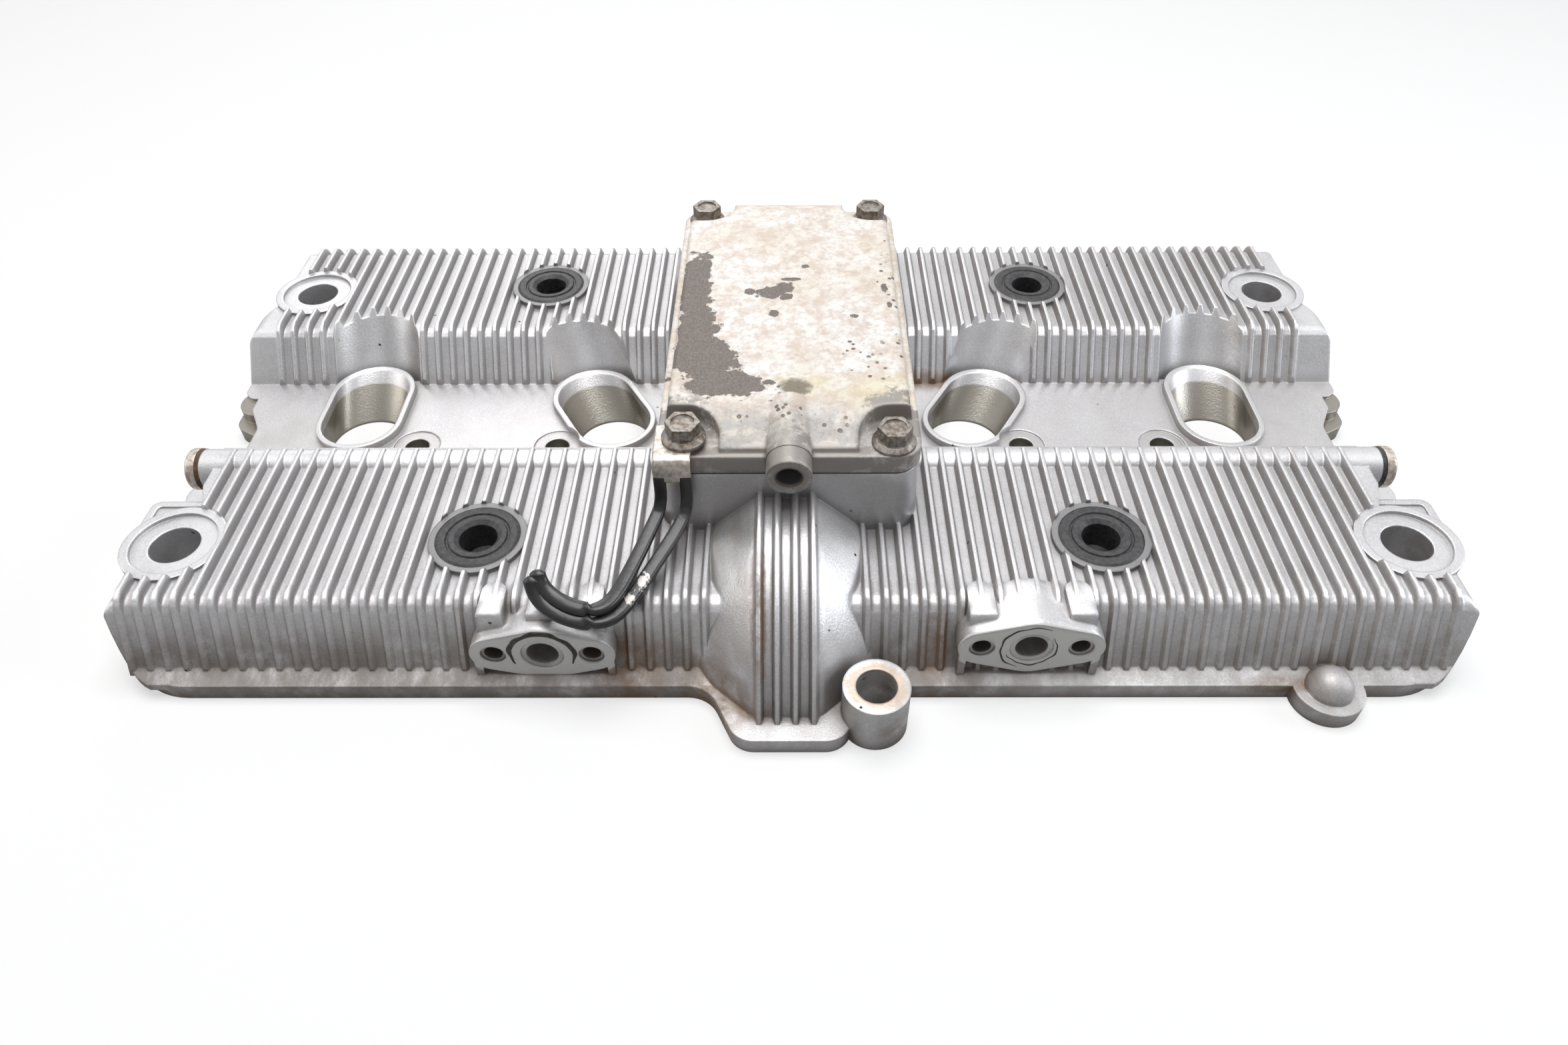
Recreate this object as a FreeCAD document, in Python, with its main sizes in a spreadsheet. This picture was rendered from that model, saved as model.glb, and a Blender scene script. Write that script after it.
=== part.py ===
# Valve cover for an engine with side-by-side cylinders: a finned casting with a
# breather chamber, its cover, gasket, bolts, cable guide, rubber grommets and the
# plugs of the oil gallery.
# X runs along the cover, Y from the front edge to the rear, Z up; the sealing face
# lies on Z = 0 and the origin is the middle of the outline.
import FreeCAD, Part
import math
import os
import Sketcher

V = FreeCAD.Vector

# Every size of the part: name, value (millimetres, degrees or a count), meaning.
SIZES = [
    ("flange_thickness", 5.0, "sealing flange of the casting"),
    ("front_edge_y", -99.0, "front edge of the flange"),
    ("rear_edge_y", 103.5, "rear edge of the flange"),
    ("hump_edge_y", 116.3, "flange edge at the two humps"),
    ("end_x", 182.7, "end of the flange beside the corner bolts"),
    ("end_bulge_x", 188.6, "end of the flange between the corner bolts"),
    ("valley_end_x", 178.0, "end of the flange at the valley"),
    ("corner_round", 20.0, "plan rounding of the flange corners"),
    ("front_foot_y", -94.0, "foot of the front wall"),
    ("front_top_y", -86.7, "theoretical top edge of the front wall"),
    ("rear_foot_y", 99.0, "foot of the rear wall"),
    ("rear_top_y", 91.7, "theoretical top edge of the rear wall"),
    ("foot_z", 7.0, "height of both wall feet"),
    ("top_z", 24.5, "top plane of both banks"),
    ("edge_round", 5.5, "rounding where wall and top plane meet"),
    ("bank_end_x", 181.4, "top edge of the front bank at its ends"),
    ("end_round", 4.0, "rounding of the end top edges"),
    ("front_inner_y", -23.5, "valley side of the front bank"),
    ("valley_z", 9.5, "floor of the valley"),
    ("rear_inner_foot_y", 28.0, "foot of the inner wall of the rear bank"),
    ("rear_overlap_y", 20.0, "where the rear bank starts inside the valley floor"),
    ("rear_inner_top_y", 38.5, "top edge of the inner wall of the rear bank"),
    ("rear_end_x", 187.4, "top edge of the rear bank at its ends"),
    ("wall", 3.4, "general wall of the casting"),
    ("hollow_end_x", 170.0, "end of the hollow under the banks"),
    ("hollow_front_y", -91.0, "front side of the hollow at the flange"),
    ("hollow_rear_y", 96.0, "rear side of the hollow at the flange"),
    ("fin_pitch", 5.0, "pitch of the fins"),
    ("fin_height", 2.5, "height of a fin"),
    ("fin_crest", 1.0, "width of a fin at its crest"),
    ("fin_base", 2.8, "width of a fin at its base"),
    ("fin_sink", 0.25, "depth of a fin below the surface it stands on"),
    ("fin_shift", -0.95, "shift of the fin field along the cover"),
    ("front_fin_phase", 1.45, "front fins: first fin beyond a whole pitch"),
    ("rear_fin_phase", 0.95, "rear fins: first fin beyond a whole pitch"),
    ("front_fin_first", 4, "front fins: number of the first one"),
    ("front_fin_count", 30, "front fins on each side"),
    ("corner_fin_count", 2, "extra front fins beside the corner bolts"),
    ("corner_fin_start_y", -64.0, "rear end of the extra front fins"),
    ("rear_fin_first", 8, "rear fins: number of the first one"),
    ("rear_fin_count", 28, "rear fins on each side"),
    ("rear_fin_split_y", 62.0, "where the two sweeps of a rear fin meet"),
    ("gallery_y", -28.5, "axis of the oil gallery"),
    ("gallery_z", 20.4, "axis of the oil gallery"),
    ("gallery_r", 6.1, "outside radius of the gallery"),
    ("gallery_bore_r", 3.6, "drilled bore of the gallery"),
    ("gallery_end_x", 177.2, "machined end of the gallery"),
    ("gallery_fin_end_y", -26.6, "fins end on the gallery"),
    ("corner_hole_x", 171.0, "corner bolt holes"),
    ("corner_front_y", -64.75, "corner bolt holes, front pair"),
    ("corner_rear_y", 62.3, "corner bolt holes, rear pair"),
    ("corner_boss_r", 14.2, "boss around a corner bolt hole"),
    ("corner_boss_z", 25.4, "top of the corner bosses"),
    ("corner_seat_r", 11.7, "machined seat of the corner bolts"),
    ("corner_seat_z", 24.4, "height of that seat"),
    ("corner_hole_r", 6.9, "corner bolt hole"),
    ("corner_column_r", 11.0, "column around the corner bolt hole"),
    ("bank_hole_x", 86.5, "bank bolt holes with grommets"),
    ("bank_front_y", -63.3, "bank bolt holes, front pair"),
    ("bank_rear_y", 65.5, "bank bolt holes, rear pair"),
    ("bank_boss_r", 13.6, "boss around a grommet"),
    ("bank_boss_z", 26.0, "top of the grommet bosses"),
    ("bank_seat_z", 17.0, "seat of the grommet"),
    ("bank_hole_r", 6.2, "hole under the grommet"),
    ("grommet_r", 11.7, "outside radius of a grommet"),
    ("grommet_gap", 0.05, "clearance of the grommet in its seat"),
    ("grommet_hole_r", 5.3, "hole of a grommet"),
    ("grommet_z", 26.4, "top of a grommet"),
    ("grommet_step", 0.5, "step of the rings on a grommet"),
    ("well_x_outer", 143.0, "outer plug wells"),
    ("well_x_inner", 58.5, "inner plug wells"),
    ("well_y", 5.0, "round end of every plug well"),
    ("well_r", 12.4, "inside radius of a plug well"),
    ("well_length", 16.0, "straight length of the rim of a plug well"),
    ("well_wall", 1.7, "rim wall of a plug well"),
    ("well_rim_z", 12.0, "rim height of a plug well"),
    ("well_flat", 0.6, "straight length left at the bottom of a plug well"),
    ("well_turn", 30.0, "turn of the inner plug wells"),
    ("scallop_r", 16.5, "tool clearance cut into the rear bank"),
    ("scallop_lean", 35.0, "lean of that cut from the vertical"),
    ("scallop_y", 6.35, "axis of that cut behind the round end at Z = 0"),
    ("valley_hole_x_inner", 76.0, "inner valley bolt holes"),
    ("valley_hole_x_outer", 122.0, "outer valley bolt holes"),
    ("valley_hole_y", -5.0, "valley bolt holes"),
    ("valley_hole_r", 3.9, "valley bolt hole"),
    ("valley_seat_r", 7.5, "machined seat around a valley bolt hole"),
    ("valley_seat_depth", 0.4, "depth of that seat"),
    ("end_box_x", 189.0, "outer end of the low box behind a front corner boss"),
    ("end_box_front_y", -54.0, "front of that box, inside the boss"),
    ("end_box_rear_y", -41.5, "rear of that box"),
    ("end_box_z", 19.6, "top of that box"),
    ("bead", 1.6, "raised bead around that box"),
    ("lobe_x", 181.4, "rounded flange lobes at the valley ends"),
    ("lobe_front_y", -27.5, "front lobes"),
    ("lobe_rear_y", 19.5, "rear lobes"),
    ("lobe_r", 7.4, "radius of the lobes"),
    ("tower_half", 35.2, "half width of the breather chamber at the joint"),
    ("tower_front_y", -58.6, "front of the breather chamber at the joint"),
    ("tower_rear_y", 71.6, "rear of the breather chamber at the joint"),
    ("tower_round", 7.0, "plan rounding of the breather chamber"),
    ("tower_draft", 2.2, "draft of the chamber walls"),
    ("joint_z", 45.0, "joint of the breather cover"),
    ("chamber_inset", 4.6, "wall of the breather chamber"),
    ("chamber_floor_z", 19.5, "floor of the breather chamber"),
    ("chamber_floor_thickness", 3.0, "thickness of that floor"),
    ("drain_half", 9.0, "half width of the two drain openings"),
    ("drain_front_y", -41.0, "front drain opening"),
    ("drain_rear_y", 54.0, "rear drain opening"),
    ("drain_length", 18.0, "length of a drain opening"),
    ("hump_y", 66.0, "hump axis, before and behind the middle"),
    ("hump_z", -8.0, "hump axis"),
    ("hump_r", 45.0, "hump radius"),
    ("hump_half", 8.7, "half width of the hump crown"),
    ("hump_shift", -0.8, "shift of the humps along the cover"),
    ("hump_foot_half", 29.0, "half width of the hump at its foot"),
    ("hump_foot_r", 27.0, "hump radius at its foot"),
    ("hump_round", 4.0, "rounding of the crown edges"),
    ("hump_fin_pitch", 4.75, "pitch of the fins on the humps"),
    ("hump_fin_height", 2.2, "height of the fins on the humps"),
    ("boss_x", 22.3, "round boss beside the front hump"),
    ("boss_y", -106.8, "round boss beside the front hump"),
    ("boss_r", 8.85, "radius of that boss"),
    ("boss_hole_r", 5.36, "hole of that boss"),
    ("boss_z", 15.5, "height of that boss"),
    ("relief_r", 12.0, "flattened wall behind that boss"),
    ("lug_x", 143.7, "lug with a dome on the front edge"),
    ("lug_y", -99.5, "lug with a dome on the front edge"),
    ("lug_r", 9.4, "radius of that lug"),
    ("dome_r", 6.3, "radius of the dome"),
    ("dome_z", 11.0, "top of the dome"),
    ("pipe_left_x", -65.1, "left pipe flange"),
    ("pipe_left_z", 14.7, "left pipe flange"),
    ("pipe_right_x", 63.3, "right pipe flange"),
    ("pipe_right_z", 17.2, "right pipe flange"),
    ("pipe_face_y", -96.0, "faces of the pipe flanges"),
    ("pipe_rear_y", -80.0, "rear end of the pipe flange lobes"),
    ("pipe_centre_r", 9.7, "centre lobe of a pipe flange"),
    ("pipe_ear_r", 6.25, "ear of a pipe flange"),
    ("pipe_ear_x", 13.0, "ears beside the bore"),
    ("pipe_bore_r", 4.25, "oil bore of a pipe flange"),
    ("pipe_ring_r", 5.7, "counterbore ring around that bore"),
    ("pipe_ring_depth", 0.5, "depth of that ring"),
    ("pipe_thread_r", 2.5, "threaded holes of a pipe flange"),
    ("pipe_thread_depth", 11.0, "depth of those holes"),
    ("pipe_sink_r", 3.4, "shallow counterbore of those holes"),
    ("pipe_sink_depth", 0.8, "depth of that counterbore"),
    ("pipe_lobe_r", 4.4, "lobes that run back to the top plane"),
    ("pipe_lobe_y", -83.6, "rear centre of those lobes"),
    ("pipe_lobe_z", 26.2, "top of those lobes"),
    ("pipe_web", 2.0, "webs under a pipe flange"),
    ("pipe_web_x", 17.6, "webs beside the bore"),
    ("gasket_thickness", 0.8, "gasket of the breather cover"),
    ("gasket_width", 5.4, "width of that gasket"),
    ("cover_flange", 5.4, "flange of the breather cover"),
    ("cover_top_z", 56.6, "top of the breather cover"),
    ("cover_lip", 0.4, "overhang of the cover past the chamber"),
    ("cover_inset", 1.4, "step from the cover flange to the raised top"),
    ("cover_draft", 9.0, "draft of the raised top"),
    ("cover_round", 2.4, "rounding of its top edge"),
    ("cover_wall", 3.2, "wall of the breather cover"),
    ("cover_slope_y", -44.0, "where the front slope of the cover begins"),
    ("cover_nose_z", 51.9, "front slope of the cover at its front edge"),
    ("cover_tail_z", 54.6, "rear edge of the raised top"),
    ("bolt_x", 28.1, "breather bolts"),
    ("bolt_front_y", -53.0, "breather bolts, front pair"),
    ("bolt_rear_y", 66.0, "breather bolts, rear pair"),
    ("bolt_pad_r", 9.6, "clear radius around a breather bolt"),
    ("bolt_hole_r", 3.3, "clearance hole of a breather bolt"),
    ("bolt_shank_r", 3.0, "shank of a breather bolt"),
    ("bolt_flange_r", 6.0, "flange of a breather bolt"),
    ("bolt_flange_t", 1.3, "thickness of that flange"),
    ("bolt_hex_r", 4.75, "corner radius of the hexagon"),
    ("bolt_head_z", 5.6, "height of the whole head"),
    ("bolt_length", 22.0, "shank below the head"),
    ("bolt_boss_r", 5.6, "threaded boss inside the chamber"),
    ("bolt_boss_z", 26.0, "bottom of those bosses"),
    ("thread_depth", 17.0, "depth of the threaded holes"),
    ("nipple_r", 6.1, "outside radius of the breather nipple's turned end"),
    ("nipple_free", 6.0, "length of that end"),
    ("nipple_root_r", 6.3, "outside radius of the nipple behind it"),
    ("nipple_bore_r", 3.5, "bore of the nipple"),
    ("nipple_root_y", -40.0, "root of the nipple, inside the cover"),
    ("nipple_root_z", 52.6, "root of the nipple"),
    ("nipple_length", 25.8, "length of the nipple"),
    ("nipple_fall", 6.0, "fall of the nipple towards its mouth"),
    ("guide_thickness", 1.8, "sheet of the cable guide"),
    ("guide_x", -31.0, "middle of the cable guide at its tab"),
    ("guide_half", 5.1, "half width of the tab"),
    ("guide_slot_half", 1.8, "half width of the slot"),
    ("guide_drop_y", -62.6, "front face of the vertical strap"),
    ("guide_slot_top_z", 46.0, "top of the slot"),
    ("guide_low_z", 38.0, "lower end of the vertical strap"),
    ("guide_bend", 1.9, "outside rounding of the bend"),
    ("guide_leg_r", 1.65, "radius of the coated legs"),
    ("baffle_half", 22.0, "half width of the baffle plate"),
    ("baffle_front_y", -44.0, "front of the baffle plate"),
    ("baffle_rear_y", 56.0, "rear of the baffle plate"),
    ("baffle_z", 38.0, "underside of the baffle plate"),
    ("baffle_thickness", 1.2, "thickness of the baffle plate"),
    ("baffle_boss_r", 5.0, "posts that carry the baffle plate"),
    ("baffle_screw_y", 30.0, "baffle screws before and behind the plate centre"),
    ("baffle_centre_y", 6.0, "centre of the two baffle screws"),
    ("screw_r", 2.0, "shank of a baffle screw"),
    ("screw_head_r", 3.8, "head of a baffle screw"),
    ("screw_head_z", 2.6, "head height of a baffle screw"),
    ("screw_length", 9.0, "shank length of a baffle screw"),
    ("screw_gap", 0.25, "clearance of the screw in the plate"),
    ("plug_r", 6.4, "radius of a gallery plug"),
    ("plug_thickness", 3.0, "head thickness of a gallery plug"),
    ("plug_stem_r", 3.55, "stem of a gallery plug"),
    ("plug_stem", 8.0, "stem length of a gallery plug"),
    ("plug_round", 1.0, "rounding of the plug head"),
    ("washer_r", 6.2, "sealing washer of a gallery plug"),
    ("washer_thickness", 1.2, "thickness of that washer"),
    ("over", 1.0, "how far a cutting tool runs past a face"),
]


class Size:
    """A number from the sheet together with the expression that gives it."""

    def __init__(self, text, value):
        self.text = text
        self.value = float(value)

    def join(self, other, sign, value):
        return Size("(" + self.text + sign + words(other) + ")", value)

    def __add__(self, other):
        return self.join(other, " + ", self.value + number(other))

    def __radd__(self, other):
        return as_size(other) + self

    def __sub__(self, other):
        return self.join(other, " - ", self.value - number(other))

    def __rsub__(self, other):
        return as_size(other) - self

    def __mul__(self, other):
        return self.join(other, " * ", self.value * number(other))

    def __rmul__(self, other):
        return as_size(other) * self

    def __truediv__(self, other):
        return self.join(other, " / ", self.value / number(other))

    def __neg__(self):
        return Size("(0 - " + self.text + ")", -self.value)


def number(thing):
    """Plain value of a size or of a number."""
    return thing.value if isinstance(thing, Size) else float(thing)


def words(thing):
    """Expression of a size or of a number."""
    return thing.text if isinstance(thing, Size) else repr(float(thing))


def as_size(thing):
    """A size made of a plain number."""
    return thing if isinstance(thing, Size) else Size(words(thing), thing)


def root(thing):
    """Square root of a size."""
    return Size("sqrt(" + words(thing) + ")", math.sqrt(number(thing)))


def sine(angle):
    """Sine of an angle in degrees."""
    return Size("sin(" + words(angle) + ")", math.sin(math.radians(number(angle))))


def cosine(angle):
    """Cosine of an angle in degrees."""
    return Size("cos(" + words(angle) + ")", math.cos(math.radians(number(angle))))


def tangent(angle):
    """Tangent of an angle in degrees."""
    return Size("tan(" + words(angle) + ")", math.tan(math.radians(number(angle))))


def steepness(rise, run):
    """Angle in degrees of a slope given by its rise and its run."""
    ratio = as_size(rise) / run
    return Size("atan(" + ratio.text + ")", math.degrees(math.atan(ratio.value)))


doc = FreeCAD.newDocument("valve_cover")
sheet = doc.addObject("Spreadsheet::Sheet", "Sizes")


class Book:
    """The sizes by name."""


q = Book()
for row, (name, value, meaning) in enumerate(SIZES, start=1):
    sheet.set("A%d" % row, name)
    sheet.set("B%d" % row, str(value))
    sheet.setAlias("B%d" % row, name)
    sheet.set("C%d" % row, meaning)
    setattr(q, name, Size("Sizes." + name, value))
doc.recompute()


def bind(thing, name, size):
    """Give a property its number and tie it to the sheet."""
    if isinstance(size, Size):
        thing.setExpression(name, size.text)
        return
    thing.setExpression(name, repr(float(size)))


def locate(thing, x=0, y=0, z=0):
    """Bind the position of a thing."""
    bind(thing, "Placement.Base.x", x)
    bind(thing, "Placement.Base.y", y)
    bind(thing, "Placement.Base.z", z)


PLANES = {
    "XY": (FreeCAD.Rotation(), "z"),
    "XZ": (FreeCAD.Rotation(V(1, 0, 0), 90), "y"),
    "YZ": (FreeCAD.Rotation(V(1, 1, 1), 120), "x"),
}


def pin(sketch, geometry, position, u, v):
    """Bind both coordinates of one point of a sketch."""
    for kind, size in (("DistanceX", u), ("DistanceY", v)):
        rule = Sketcher.Constraint(kind, -1, 1, geometry, position, number(size))
        index = sketch.addConstraint(rule)
        sketch.setExpression("Constraints[%d]" % index, words(size))


def ring(sketch, u, v, radius):
    """Add a bound circle to a sketch."""
    centre = V(number(u), number(v), 0)
    index = sketch.addGeometry(Part.Circle(centre, V(0, 0, 1), number(radius)))
    pin(sketch, index, 3, u, v)
    rule = sketch.addConstraint(Sketcher.Constraint("Radius", index, number(radius)))
    sketch.setExpression("Constraints[%d]" % rule, words(radius))


def corner_arc(before, at, after, radius):
    """Tangent points, centre and turn of a rounded corner."""
    inward = (at - before).normalize()
    outward = V(after - at).normalize()
    turn = inward.x * outward.y - inward.y * outward.x
    angle = math.acos(max(-1.0, min(1.0, inward.dot(outward))))
    reach = radius * math.tan(angle / 2)
    first = at - inward * reach
    second = at + outward * reach
    side = 1.0 if turn > 0 else -1.0
    centre = first + V(-inward.y, inward.x, 0) * radius * side
    return first, second, centre, side


def draw(sketch, nodes, closed=True):
    """Add a chain of lines; a node (u, v, radius) is a rounded corner."""
    spots = [V(number(n[0]), number(n[1]), 0) for n in nodes]
    count = len(nodes)
    arcs = {}
    for i, node in enumerate(nodes):
        if len(node) == 3:
            before = spots[i - 1]
            after = spots[(i + 1) % count]
            arcs[i] = corner_arc(before, spots[i], after, number(node[2]))
    lines = []
    for i in range(count if closed else count - 1):
        j = (i + 1) % count
        start = arcs[i][1] if i in arcs else spots[i]
        end = arcs[j][0] if j in arcs else spots[j]
        lines.append(sketch.addGeometry(Part.LineSegment(start, end)))
    for i, node in enumerate(nodes):
        before = lines[i - 1] if (closed or i > 0) else None
        after = lines[i] if i < len(lines) else None
        if i not in arcs:
            if before is not None and after is not None:
                sketch.addConstraint(Sketcher.Constraint("Coincident", before, 2, after, 1))
            if after is not None:
                pin(sketch, after, 1, node[0], node[1])
            else:
                pin(sketch, before, 2, node[0], node[1])
            continue
        first, second, centre, side = arcs[i]
        begin, finish = (first, second) if side > 0 else (second, first)
        circle = Part.Circle(centre, V(0, 0, 1), number(node[2]))
        a = math.atan2(begin.y - centre.y, begin.x - centre.x)
        b = math.atan2(finish.y - centre.y, finish.x - centre.x)
        if b < a:
            b += 2 * math.pi
        arc = sketch.addGeometry(Part.ArcOfCircle(circle, a, b))
        head, tail = (1, 2) if side > 0 else (2, 1)
        sketch.addConstraint(Sketcher.Constraint("Tangent", before, 2, arc, head))
        sketch.addConstraint(Sketcher.Constraint("Tangent", arc, tail, after, 1))
        rule = sketch.addConstraint(Sketcher.Constraint("Radius", arc, number(node[2])))
        sketch.setExpression("Constraints[%d]" % rule, words(node[2]))
        mark = sketch.addGeometry(Part.Point(spots[i]), True)
        pin(sketch, mark, 1, node[0], node[1])
        sketch.addConstraint(Sketcher.Constraint("PointOnObject", mark, 1, before))
        sketch.addConstraint(Sketcher.Constraint("PointOnObject", mark, 1, after))


def outline(name, plane, level, *chains):
    """A sketch on a world plane at a level, made of closed chains."""
    sketch = doc.addObject("Sketcher::SketchObject", name)
    turn, axis = PLANES[plane]
    sketch.Placement = FreeCAD.Placement(V(0, 0, 0), turn)
    bind(sketch, "Placement.Base." + axis, level)
    for chain in chains:
        draw(sketch, chain)
    return sketch


def extrude(name, sketch, length, taper=None):
    """Extrude a sketch along its normal."""
    solid = doc.addObject("Part::Extrusion", name)
    solid.Base = sketch
    solid.DirMode = "Normal"
    solid.Solid = True
    bind(solid, "LengthFwd", length)
    if taper is not None:
        bind(solid, "TaperAngle", taper)
    return solid


def cylinder(name, x, y, z, radius, height, along="Z"):
    """A cylinder that starts at a point and runs along an axis."""
    solid = doc.addObject("Part::Cylinder", name)
    turns = {
        "Z": FreeCAD.Rotation(),
        "X": FreeCAD.Rotation(V(0, 1, 0), 90),
        "Y": FreeCAD.Rotation(V(1, 0, 0), -90),
    }
    solid.Placement = FreeCAD.Placement(V(0, 0, 0), turns[along])
    locate(solid, x, y, z)
    bind(solid, "Radius", radius)
    bind(solid, "Height", height)
    return solid


def box(name, x0, x1, y0, y1, z0, z1):
    """A box between two corners."""
    solid = doc.addObject("Part::Box", name)
    locate(solid, x0, y0, z0)
    bind(solid, "Length", as_size(x1) - x0)
    bind(solid, "Width", as_size(y1) - y0)
    bind(solid, "Height", as_size(z1) - z0)
    return solid


def fuse(name, parts):
    """Join solids."""
    whole = doc.addObject("Part::MultiFuse", name)
    whole.Shapes = parts
    whole.Refine = False
    return whole


def common(name, parts):
    """Keep what all solids share."""
    whole = doc.addObject("Part::MultiCommon", name)
    whole.Shapes = parts
    return whole


def cut(name, base, tool):
    """Take one solid from another."""
    whole = doc.addObject("Part::Cut", name)
    whole.Base = base
    whole.Tool = tool
    return whole


def join(name, base, parts):
    """Join solids to a base one after another."""
    whole = base
    for index, part in enumerate(parts):
        step = doc.addObject("Part::Fuse", "%s_%d" % (name, index))
        step.Base = whole
        step.Tool = part
        whole = step
    return whole


def carve(name, base, tools):
    """Take tools from a base one after another."""
    whole = base
    for index, tool in enumerate(tools):
        whole = cut("%s_%d" % (name, index), whole, tool)
    return whole


def group(name, parts):
    """Solids that do not touch, handled as one."""
    whole = doc.addObject("Part::Compound", name)
    whole.Links = parts
    return whole


def mirror(name, source, normal=V(1, 0, 0)):
    """The other half of a solid."""
    whole = doc.addObject("Part::Mirroring", name)
    whole.Source = source
    whole.Normal = normal
    return whole


def both(name, half):
    """A right half and its mirror image in one list."""
    return [half, mirror(name + "_mirrored", half)]


def plane_of(body, role):
    """An origin plane or axis of a body."""
    for thing in body.Origin.OriginFeatures:
        if thing.Role == role:
            return thing
    raise ValueError(role)


def body_sketch(body, name, role, level, *chains):
    """A sketch in a body, attached to an origin plane."""
    sketch = body.newObject("Sketcher::SketchObject", name)
    sketch.AttachmentSupport = [(plane_of(body, role), "")]
    sketch.MapMode = "FlatFace"
    bind(sketch, "AttachmentOffset.Base.z", level)
    for chain in chains:
        draw(sketch, chain)
    return sketch


def eased(y, z, radius, angle, side, downward=True):
    """Nodes of three equal bends around an arc that joins a level line to a wall.

    The arc's polygon touches it from outside; side is the direction in Y of the wall
    and the nodes run from the level line down the wall, or back up when not downward.
    """
    centre_y = y - side * radius * tangent(angle / 2.0)
    reach = radius / cosine(angle / 6.0)
    nodes = []
    for part in (1.0 / 6.0, 0.5, 5.0 / 6.0):
        nodes.append((centre_y + side * reach * sine(angle * part),
                      z - radius + reach * cosine(angle * part)))
    return nodes if downward else nodes[::-1]


# Flange with the humps' noses, the bulging ends and the four small lobes.
flange_right = [
    (0, -q.hump_edge_y),
    (q.hump_half + 5.0, -q.hump_edge_y, 7.0),
    (q.hump_half + 13.0, q.front_edge_y, 9.0),
    (q.end_x, q.front_edge_y, q.corner_round),
    (q.end_x, -54.0, 4.0),
    (q.end_bulge_x, -50.0, 4.0),
    (q.end_bulge_x, -21.0, 6.0),
    (q.valley_end_x, -14.0, 6.0),
    (q.valley_end_x, 4.0, 6.0),
    (q.end_bulge_x, 10.0, 6.0),
    (q.end_bulge_x, 44.0, 8.0),
    (q.end_x, 54.0, 6.0),
    (q.end_x, q.rear_edge_y, q.corner_round),
    (q.hump_half + 13.0, q.rear_edge_y, 9.0),
    (q.hump_half + 5.0, q.hump_edge_y, 7.0),
    (0, q.hump_edge_y),
]
flange = extrude("flange_half", outline("flange_outline", "XY", 0, flange_right),
                 q.flange_thickness)

# Front bank: what a side view, a front view and a plan view have in common.
wall_angle = steepness(q.top_z - q.foot_z, q.front_top_y - q.front_foot_y)
inner_angle = steepness(q.top_z - q.valley_z, q.rear_inner_top_y - q.rear_inner_foot_y)
front_side = [
    (q.front_edge_y + 0.5, q.flange_thickness - 2.0),
    (q.front_edge_y + 0.5, q.flange_thickness),
    (q.front_foot_y, q.foot_z),
] + eased(q.front_top_y, q.top_z, q.edge_round, wall_angle, -1.0, False) + [
    (q.front_inner_y, q.top_z),
    (q.front_inner_y, q.flange_thickness - 2.0),
]
front_view = [
    (0, q.flange_thickness - 2.0),
    (q.end_x, q.flange_thickness - 2.0),
    (q.end_x, q.flange_thickness),
    (q.bank_end_x, q.top_z, q.end_round),
    (0, q.top_z),
]
front_plan = [
    (0, q.front_edge_y - 1.0),
    (q.end_x - 0.3, q.front_edge_y - 1.0, 17.0),
    (q.end_x - 0.3, -60.0),
    (167.2, -55.0),
    (172.6, -40.5, 3.0),
    (172.6, q.front_inner_y + 1.0),
    (0, q.front_inner_y + 1.0),
]
front_bank = common("front_bank_half", [
    extrude("front_bank_side", outline("front_side", "YZ", 0, front_side), q.end_bulge_x),
    extrude("front_bank_view", outline("front_view", "XZ", 0, front_view), q.hump_edge_y),
    extrude("front_bank_plan", outline("front_plan", "XY", 0, front_plan), q.joint_z),
])

# Rear bank, made the same way; its front view is extruded towards the rear.
rear_side = [
    (q.rear_overlap_y, q.flange_thickness - 2.0),
    (q.rear_edge_y - 0.5, q.flange_thickness - 2.0),
    (q.rear_edge_y - 0.5, q.flange_thickness),
    (q.rear_foot_y, q.foot_z),
] + eased(q.rear_top_y, q.top_z, q.edge_round, wall_angle, 1.0, False) \
  + eased(q.rear_inner_top_y, q.top_z, q.edge_round, inner_angle, -1.0) + [
    (q.rear_inner_foot_y, q.valley_z),
    (q.rear_overlap_y, q.valley_z),
]
rear_view = [
    (0, q.flange_thickness - 2.0),
    (q.end_bulge_x - 0.1, q.flange_thickness - 2.0),
    (q.end_bulge_x - 0.1, q.flange_thickness),
    (q.rear_end_x, q.top_z, q.end_round),
    (0, q.top_z),
]
rear_plan = [
    (0, q.rear_overlap_y),
    (q.end_bulge_x - 0.2, q.rear_overlap_y, 5.0),
    (q.end_bulge_x - 0.2, 43.0, 8.0),
    (q.end_x - 0.3, 55.0, 8.0),
    (q.end_x - 0.3, q.rear_edge_y + 1.0, 17.0),
    (0, q.rear_edge_y + 1.0),
]
rear_view_solid = extrude("rear_bank_view", outline("rear_view", "XZ", q.rear_edge_y + 5.0, rear_view),
                          q.hump_edge_y)
rear_bank = common("rear_bank_half", [
    extrude("rear_bank_side", outline("rear_side", "YZ", 0, rear_side), q.end_bulge_x),
    rear_view_solid,
    extrude("rear_bank_plan", outline("rear_plan", "XY", 0, rear_plan), q.joint_z),
])


def leaning_cylinder(name, x, radius, turn):
    """Tool clearance behind a plug well, leaning back and turned outward."""
    solid = doc.addObject("Part::Cylinder", name)
    lean = FreeCAD.Rotation(V(1, 0, 0), -number(q.scallop_lean))
    outward = FreeCAD.Rotation(V(0, 0, 1), -number(turn))
    solid.Placement = FreeCAD.Placement(V(0, 0, 0), outward * lean)
    locate(solid, x + q.scallop_y * sine(turn), q.well_y + q.scallop_y * cosine(turn), 0)
    bind(solid, "Radius", radius)
    bind(solid, "Height", q.rear_edge_y)
    return solid


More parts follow.
